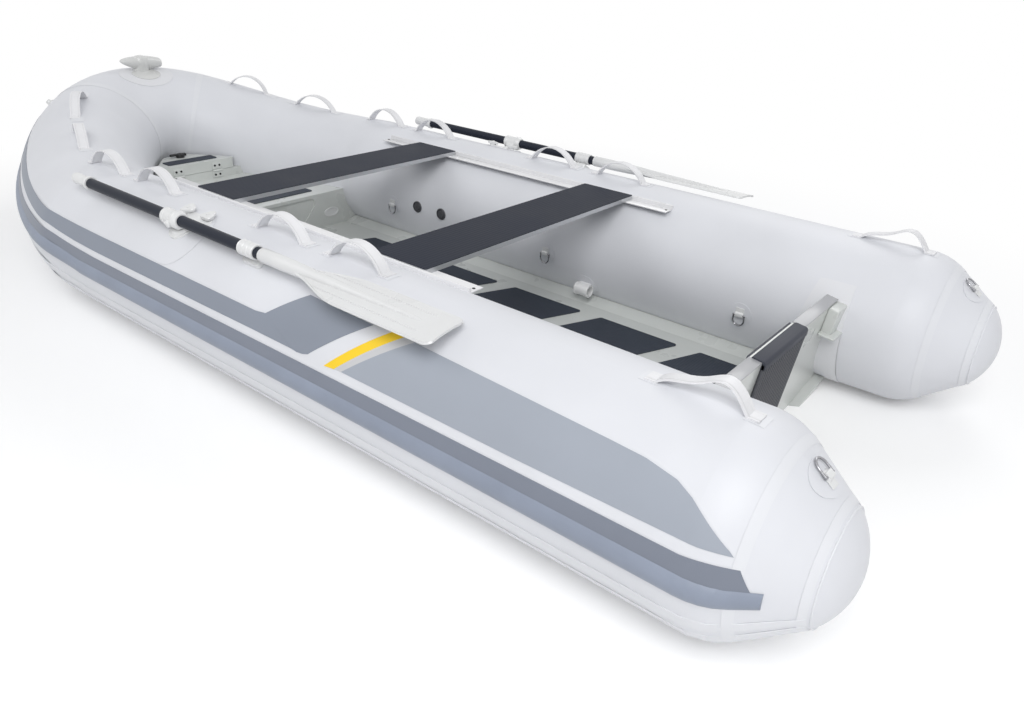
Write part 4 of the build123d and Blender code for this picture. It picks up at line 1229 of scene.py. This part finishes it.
# Each patch: name, half its width in degrees of the bow curve, half its length in degrees
# round the tube, thickness and finish. It is a half oval that ends at the stem.
for name, half_degrees, half_around, thick, paint in (
    ("cleat_patch", 9.0, 20.0, 0.0014, patch_white),
    ("cleat_pad", 4.6, 10.5, 0.0040, cleat_white),
):
    edge = [sin(step * pi / 24) for step in range(13)]
    reach = [90.0 - half_degrees * cos(step * pi / 24) for step in range(13)]
    glued_panel(
        name,
        [(min(s, 90.0), cleat_patch_angle - half_around * max(e, 0.02)) for s, e in zip(reach, edge)],
        [(min(s, 90.0), cleat_patch_angle + half_around * max(e, 0.02)) for s, e in zip(reach, edge)],
        (36, 16),
        paint,
        thick=thick,
    )
post = turned(
    "post",
    [
        (-0.014, 0.032),
        (0.004, 0.031),
        (0.012, 0.030),
        (0.022, 0.030),
        (0.032, 0.033),
        (0.046, 0.032),
        (0.058, 0.024),
        (0.063, 0.010),
    ],
    40,
)
post.scale = (1.12, 0.92, 1.0)
baked(post)


def horn(name, sections):
    """Horn pulled out sideways from the cleat's head: (reach, width, height, level) in turn."""
    start, width, height, level = sections[0]
    block = placed_block(name, (0.002, width, height), (start, 0.0, level))
    direction = 1.0 if sections[-1][0] > start else -1.0
    pick_faces(block, lambda face: face.normal.x * direction > 0.9)
    for (x, w, h, z), (next_x, next_w, next_h, next_z) in zip(sections, sections[1:]):
        bpy.ops.mesh.extrude_region_move(TRANSFORM_OT_translate={"value": (next_x - x, 0.0, next_z - z)})
        bpy.ops.transform.resize(
            value=(1.0, next_w / w, next_h / h), center_override=(next_x, 0.0, next_z)
        )
    bpy.ops.mesh.select_mode(type="VERT")
    bpy.ops.object.mode_set(mode="OBJECT")
    soft = block.modifiers.new("soft", "SUBSURF")
    soft.levels = 3
    bpy.ops.object.modifier_apply(modifier="soft")
    return block


port_horn = horn(
    "port_horn",
    [
        (0.000, 0.056, 0.060, 0.034),
        (0.035, 0.052, 0.052, 0.036),
        (0.064, 0.044, 0.036, 0.040),
        (0.083, 0.028, 0.018, 0.043),
        (0.091, 0.012, 0.007, 0.044),
    ],
)
starboard_horn = horn(
    "starboard_horn",
    [
        (0.000, 0.056, 0.060, 0.034),
        (-0.035, 0.054, 0.056, 0.033),
        (-0.066, 0.050, 0.050, 0.030),
        (-0.083, 0.046, 0.042, 0.029),
        (-0.088, 0.038, 0.032, 0.029),
    ],
)
cleat = joined("cleat", [post, port_horn, starboard_horn])
cleat.matrix_world = standing(Vector((0.0, 1.0, 0.0)), cleat_normal, cleat_foot)
finished(cleat, cleat_white, "hull")
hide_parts("bow_cleat")

# Small fittings: a white eye on each side of the bow outside, just above the fore band, and a
# white plug at the deck's edge to starboard.
eye = turned(
    "bow_eye",
    [(-0.002, 0.0180), (0.003, 0.0180), (0.005, 0.0150), (0.008, 0.0110), (0.016, 0.0100), (0.018, 0.0060)],
    32,
)
eye_station = 70.0
eye_angle = 40.0
_, eye_out, eye_up, _ = tube_ring(eye_station)
eye_turn = radians(eye_angle)
eye_normal = (eye_out * cos(eye_turn) + eye_up * sin(eye_turn)).normalized()
eye_foot = on_skin(eye_station, eye_angle)
eye.matrix_world = standing(eye_out.cross(eye_up).normalized(), eye_normal, eye_foot)
in_pairs(eye, white_plastic, "hull")
plug = turned("deck_plug", [(-0.004, 0.013), (0.004, 0.013), (0.012, 0.011), (0.018, 0.008)], 32)
plug.location = (1.410, -0.440, 0.057)
finished(plug, white_plastic, "hull")

# Rowlocks: a white moulded base on a round patch, an oval plate inboard of it, and two
# lobed clamping knobs on the plate.
oar_angle = 60.0
oar_pin_x = 1.472
rowlock_knob_pitch = 0.096
knob_reach = 0.062
knob_neck = 0.0082
knob_lobe = 0.16
knob_angle = oar_angle + degrees(knob_reach / tube_radius)
plate_angle = knob_angle - 6.0
round_patch("rowlock_patch", oar_pin_x, oar_angle - 3.0, 0.105, 0.105, 0.0007)
base = turned(
    "base",
    [
        (-0.006, 0.0400),
        (0.0035, 0.0400),
        (0.0050, 0.0385),
        (0.0050, 0.0330),
        (0.0075, 0.0310),
        (0.0110, 0.0290),
        (0.0125, 0.0270),
        (0.0125, 0.0100),
    ],
)
plate = placed_block("plate", (0.146, 0.056, 0.009), (0.0, 0.0, 0.0))
rounded(plate, 0.026, 8, lambda middle, along: abs(along.z) > 0.9)
rounded(plate, 0.002, 2, lambda middle, along: abs(along.z) < 0.1 and middle.z > 0.0)
parts = [set_on_skin(base, oar_pin_x, oar_angle), set_on_skin(plate, oar_pin_x, plate_angle)]
for shift, spin in ((-0.5, 0.5), (0.5, 1.1)):
    knob = turned(
        "knob",
        [
            (-0.002, 0.0130),
            (0.0080, 0.0130),
            (0.0086, 0.0185),
            (0.0150, 0.0205),
            (0.0178, 0.0188),
            (0.0188, 0.0090),
        ],
        60,
    )
    for corner in knob.data.vertices:
        if corner.co.z > knob_neck:
            lobes = 1.0 + knob_lobe * cos(3.0 * atan2(corner.co.y, corner.co.x))
            corner.co.x *= lobes * 1.05
            corner.co.y *= lobes
    knob_x = oar_pin_x + shift * rowlock_knob_pitch
    parts.append(set_on_skin(knob, knob_x, knob_angle, spin=spin))
    bolt = turned("bolt", [(0.0170, 0.0056), (0.0202, 0.0056), (0.0208, 0.0045)], 24)
    parts.append(set_on_skin(bolt, knob_x, knob_angle))
rowlocks = in_pairs(joined("rowlock_body", parts), white_plastic, "hull")
for piece, node in zip(rowlocks, ("rowlock_port", "rowlock_starboard")):
    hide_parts(node)
dress("oar_rests", white_plastic)

# Oars: a dark anodised tube with a white grip, a split clamp that turns on the rowlock, a
# ribbed stop collar, and a moulded blade with a tapering spine, two ribs and a turned rim.
oar_lift = 0.040
oar_normal = out_of_tube(oar_angle)
oar_inward = Vector((0.0, oar_normal.z, -oar_normal.y))
oar_centre = on_skin(at_x(oar_pin_x), oar_angle, oar_lift)
oar_grip_x = 1.940
oar_clamp_length = 0.076
oar_collar_x = 1.093
oar_collar_length = 0.062
oar_blade_root_x = 0.960
oar_blade_tip_x = 0.440
blade_roll = radians(22.0)
shaft_black = bpy.data.materials.new("shaft_black")
shaft_black.use_nodes = True
tree = shaft_black.node_tree
shader = tree.nodes["Principled BSDF"]
shader.inputs["Specular IOR Level"].default_value = 0.12
place = tree.nodes.new("ShaderNodeTexCoord")
drawn = tree.nodes.new("ShaderNodeMapping")
drawn.inputs["Scale"].default_value = (8.0, 900.0, 900.0)
lines = tree.nodes.new("ShaderNodeTexNoise")
lines.inputs["Scale"].default_value = 1.0
tint = tree.nodes.new("ShaderNodeValToRGB")
tint.color_ramp.elements[0].color = (0.015, 0.018, 0.028, 1.0)
tint.color_ramp.elements[1].color = (0.021, 0.026, 0.039, 1.0)
sheen = tree.nodes.new("ShaderNodeMapRange")
sheen.inputs["To Min"].default_value = 0.34
sheen.inputs["To Max"].default_value = 0.46
tree.links.new(place.outputs["Object"], drawn.inputs["Vector"])
tree.links.new(drawn.outputs["Vector"], lines.inputs["Vector"])
tree.links.new(lines.outputs["Fac"], tint.inputs["Fac"])
tree.links.new(tint.outputs["Color"], shader.inputs["Base Color"])
tree.links.new(lines.outputs["Fac"], sheen.inputs["Value"])
tree.links.new(sheen.outputs["Result"], shader.inputs["Roughness"])
for node in ("oar_shaft_port", "oar_shaft_starboard"):
    dress(node, shaft_black)


def along_oar(piece, x, facing=1.0):
    """Lay a piece made on its own Z axis along the port oar, starting at x, and bake it in."""
    start = Vector((x, oar_centre.y, oar_centre.z))
    piece.matrix_world = standing(oar_normal, Vector((facing, 0.0, 0.0)), start)
    return baked(piece)


grip = turned(
    "grip",
    [
        (-0.004, 0.0165),
        (-0.004, 0.0200),
        (-0.002, 0.0212),
        (0.008, 0.0212),
        (0.010, 0.0195),
        (0.014, 0.0180),
        (0.050, 0.0172),
        (0.078, 0.0182),
        (0.086, 0.0165),
        (0.090, 0.0110),
    ],
)
along_oar(grip, oar_grip_x)
for piece, node in zip(in_pairs(grip, white_plastic, "oar_port"), ("port", "starboard")):
    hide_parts(f"oar_grip_{node}")

clamp = along_oar(
    turned(
        "clamp",
        [
            (0.000, 0.0170),
            (0.000, 0.0215),
            (0.002, 0.0235),
            (0.012, 0.0235),
            (0.014, 0.0220),
            (0.052, 0.0220),
            (0.054, 0.0260),
            (0.062, 0.0265),
            (0.064, 0.0245),
            (0.072, 0.0225),
            (oar_clamp_length, 0.0195),
            (oar_clamp_length, 0.0165),
        ],
    ),
    oar_pin_x + oar_clamp_length / 2,
    -1.0,
)
fork = placed_block("fork", (0.050, 0.040, 0.030), (0.0, 0.0, 0.0))
rounded(fork, 0.008)
set_on_skin(fork, oar_pin_x, oar_angle, 0.0285)
boss = turned("boss", [(0.0, 0.0110), (0.012, 0.0110), (0.014, 0.0090)], 32)
boss.matrix_world = standing(along_tube, oar_inward, oar_centre + oar_inward * 0.016)
baked(boss)
collar_rib_pitch = 0.019
collar_rings = [(0.0, 0.0165), (0.0, 0.0190), (0.002, 0.0208)]
for step in range(3):
    low = 0.004 + step * collar_rib_pitch
    collar_rings += [
        (low + 0.009, 0.0208),
        (low + 0.0105, 0.0192),
        (low + 0.0165, 0.0192),
        (low + 0.018, 0.0208),
    ]
collar_rings += [(oar_collar_length, 0.0190), (oar_collar_length, 0.0165)]
collar = along_oar(turned("collar", collar_rings), oar_collar_x)
tongue = placed_block("tongue", (0.040, 0.012, 0.010), (0.0, 0.0, 0.0))
rounded(tongue, 0.003, 2)
set_on_skin(tongue, oar_collar_x + oar_collar_length / 2, oar_angle, 0.0155)
oar_fittings = joined("oar_fittings", [clamp, fork, boss, collar, tongue])
pair = in_pairs(oar_fittings, white_plastic, "oar_port")
for piece, node in zip(pair, ("oar_clamp_port", "oar_clamp_starboard")):
    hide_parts(node)

blade_length = oar_blade_root_x - oar_blade_tip_x
blade_half = 0.0605
neck_half = 0.014
widening = 0.215
tip_round = 0.024
blade_thickness = 0.0050
blade_dish = 0.006
rim_turn = 0.0022
rim_share = 0.955
rim_end = 0.0025
side_rib_reach = 0.034
blade_plastic = gelcoat("blade_plastic", (0.71, 0.715, 0.715))


def blade_half_width(x):
    """Half width of the blade at a distance from its root."""
    share = min(max((x - 0.010) / widening, 0.0), 1.0)
    half = neck_half + (blade_half - neck_half) * share * share * (3.0 - 2.0 * share)
    past = x - (blade_length - tip_round)
    if past > 0.0:
        half -= tip_round - sqrt(max(tip_round**2 - past**2, 0.0))
    return half


bpy.ops.object.select_all(action="DESELECT")
bpy.ops.mesh.primitive_grid_add(x_subdivisions=72, y_subdivisions=24, size=1.0)
sheet = bpy.context.object
for corner in sheet.data.vertices:
    reach = blade_length * sin((corner.co.x + 0.5) * pi / 2)
    share = 2.0 * corner.co.y
    half = blade_half_width(reach)
    turned_rim = rim_turn if abs(share) > rim_share or reach > blade_length - rim_end else 0.0
    corner.co = (reach, share * half, turned_rim - blade_dish * (share * half / blade_half) ** 2)
alone(sheet)
wall = sheet.modifiers.new("wall", "SOLIDIFY")
wall.thickness = blade_thickness
wall.offset = 0.0
bpy.ops.object.modifier_apply(modifier="wall")
spine = turned(
    "spine",
    [
        (-0.112, 0.0165),
        (-0.112, 0.0180),
        (-0.110, 0.0190),
        (-0.020, 0.0190),
        (0.040, 0.0178),
        (0.120, 0.0150),
        (0.240, 0.0112),
        (0.360, 0.0078),
        (0.430, 0.0056),
        (0.444, 0.0030),
    ],
)
spine.rotation_euler = (0.0, pi / 2, 0.0)
baked(spine)
side_rib = placed_block("side_rib", (0.340, 0.0034, 0.0052), (0.290, -side_rib_reach, -0.0002))
rounded(side_rib, 0.0014, 2)
repeated(side_rib, 2, (0.0, 2 * side_rib_reach, 0.0))
blade = joined("blade", [sheet, spine, side_rib])
blade.matrix_world = (
    standing(Vector((-1.0, 0.0, 0.0)), oar_normal, Vector((oar_blade_root_x, oar_centre.y, oar_centre.z)))
    @ Matrix.Rotation(-blade_roll, 4, "X")
)
for piece, node in zip(in_pairs(blade, blade_plastic, "oar_port"), ("port", "starboard")):
    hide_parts(f"oar_blade_{node}")
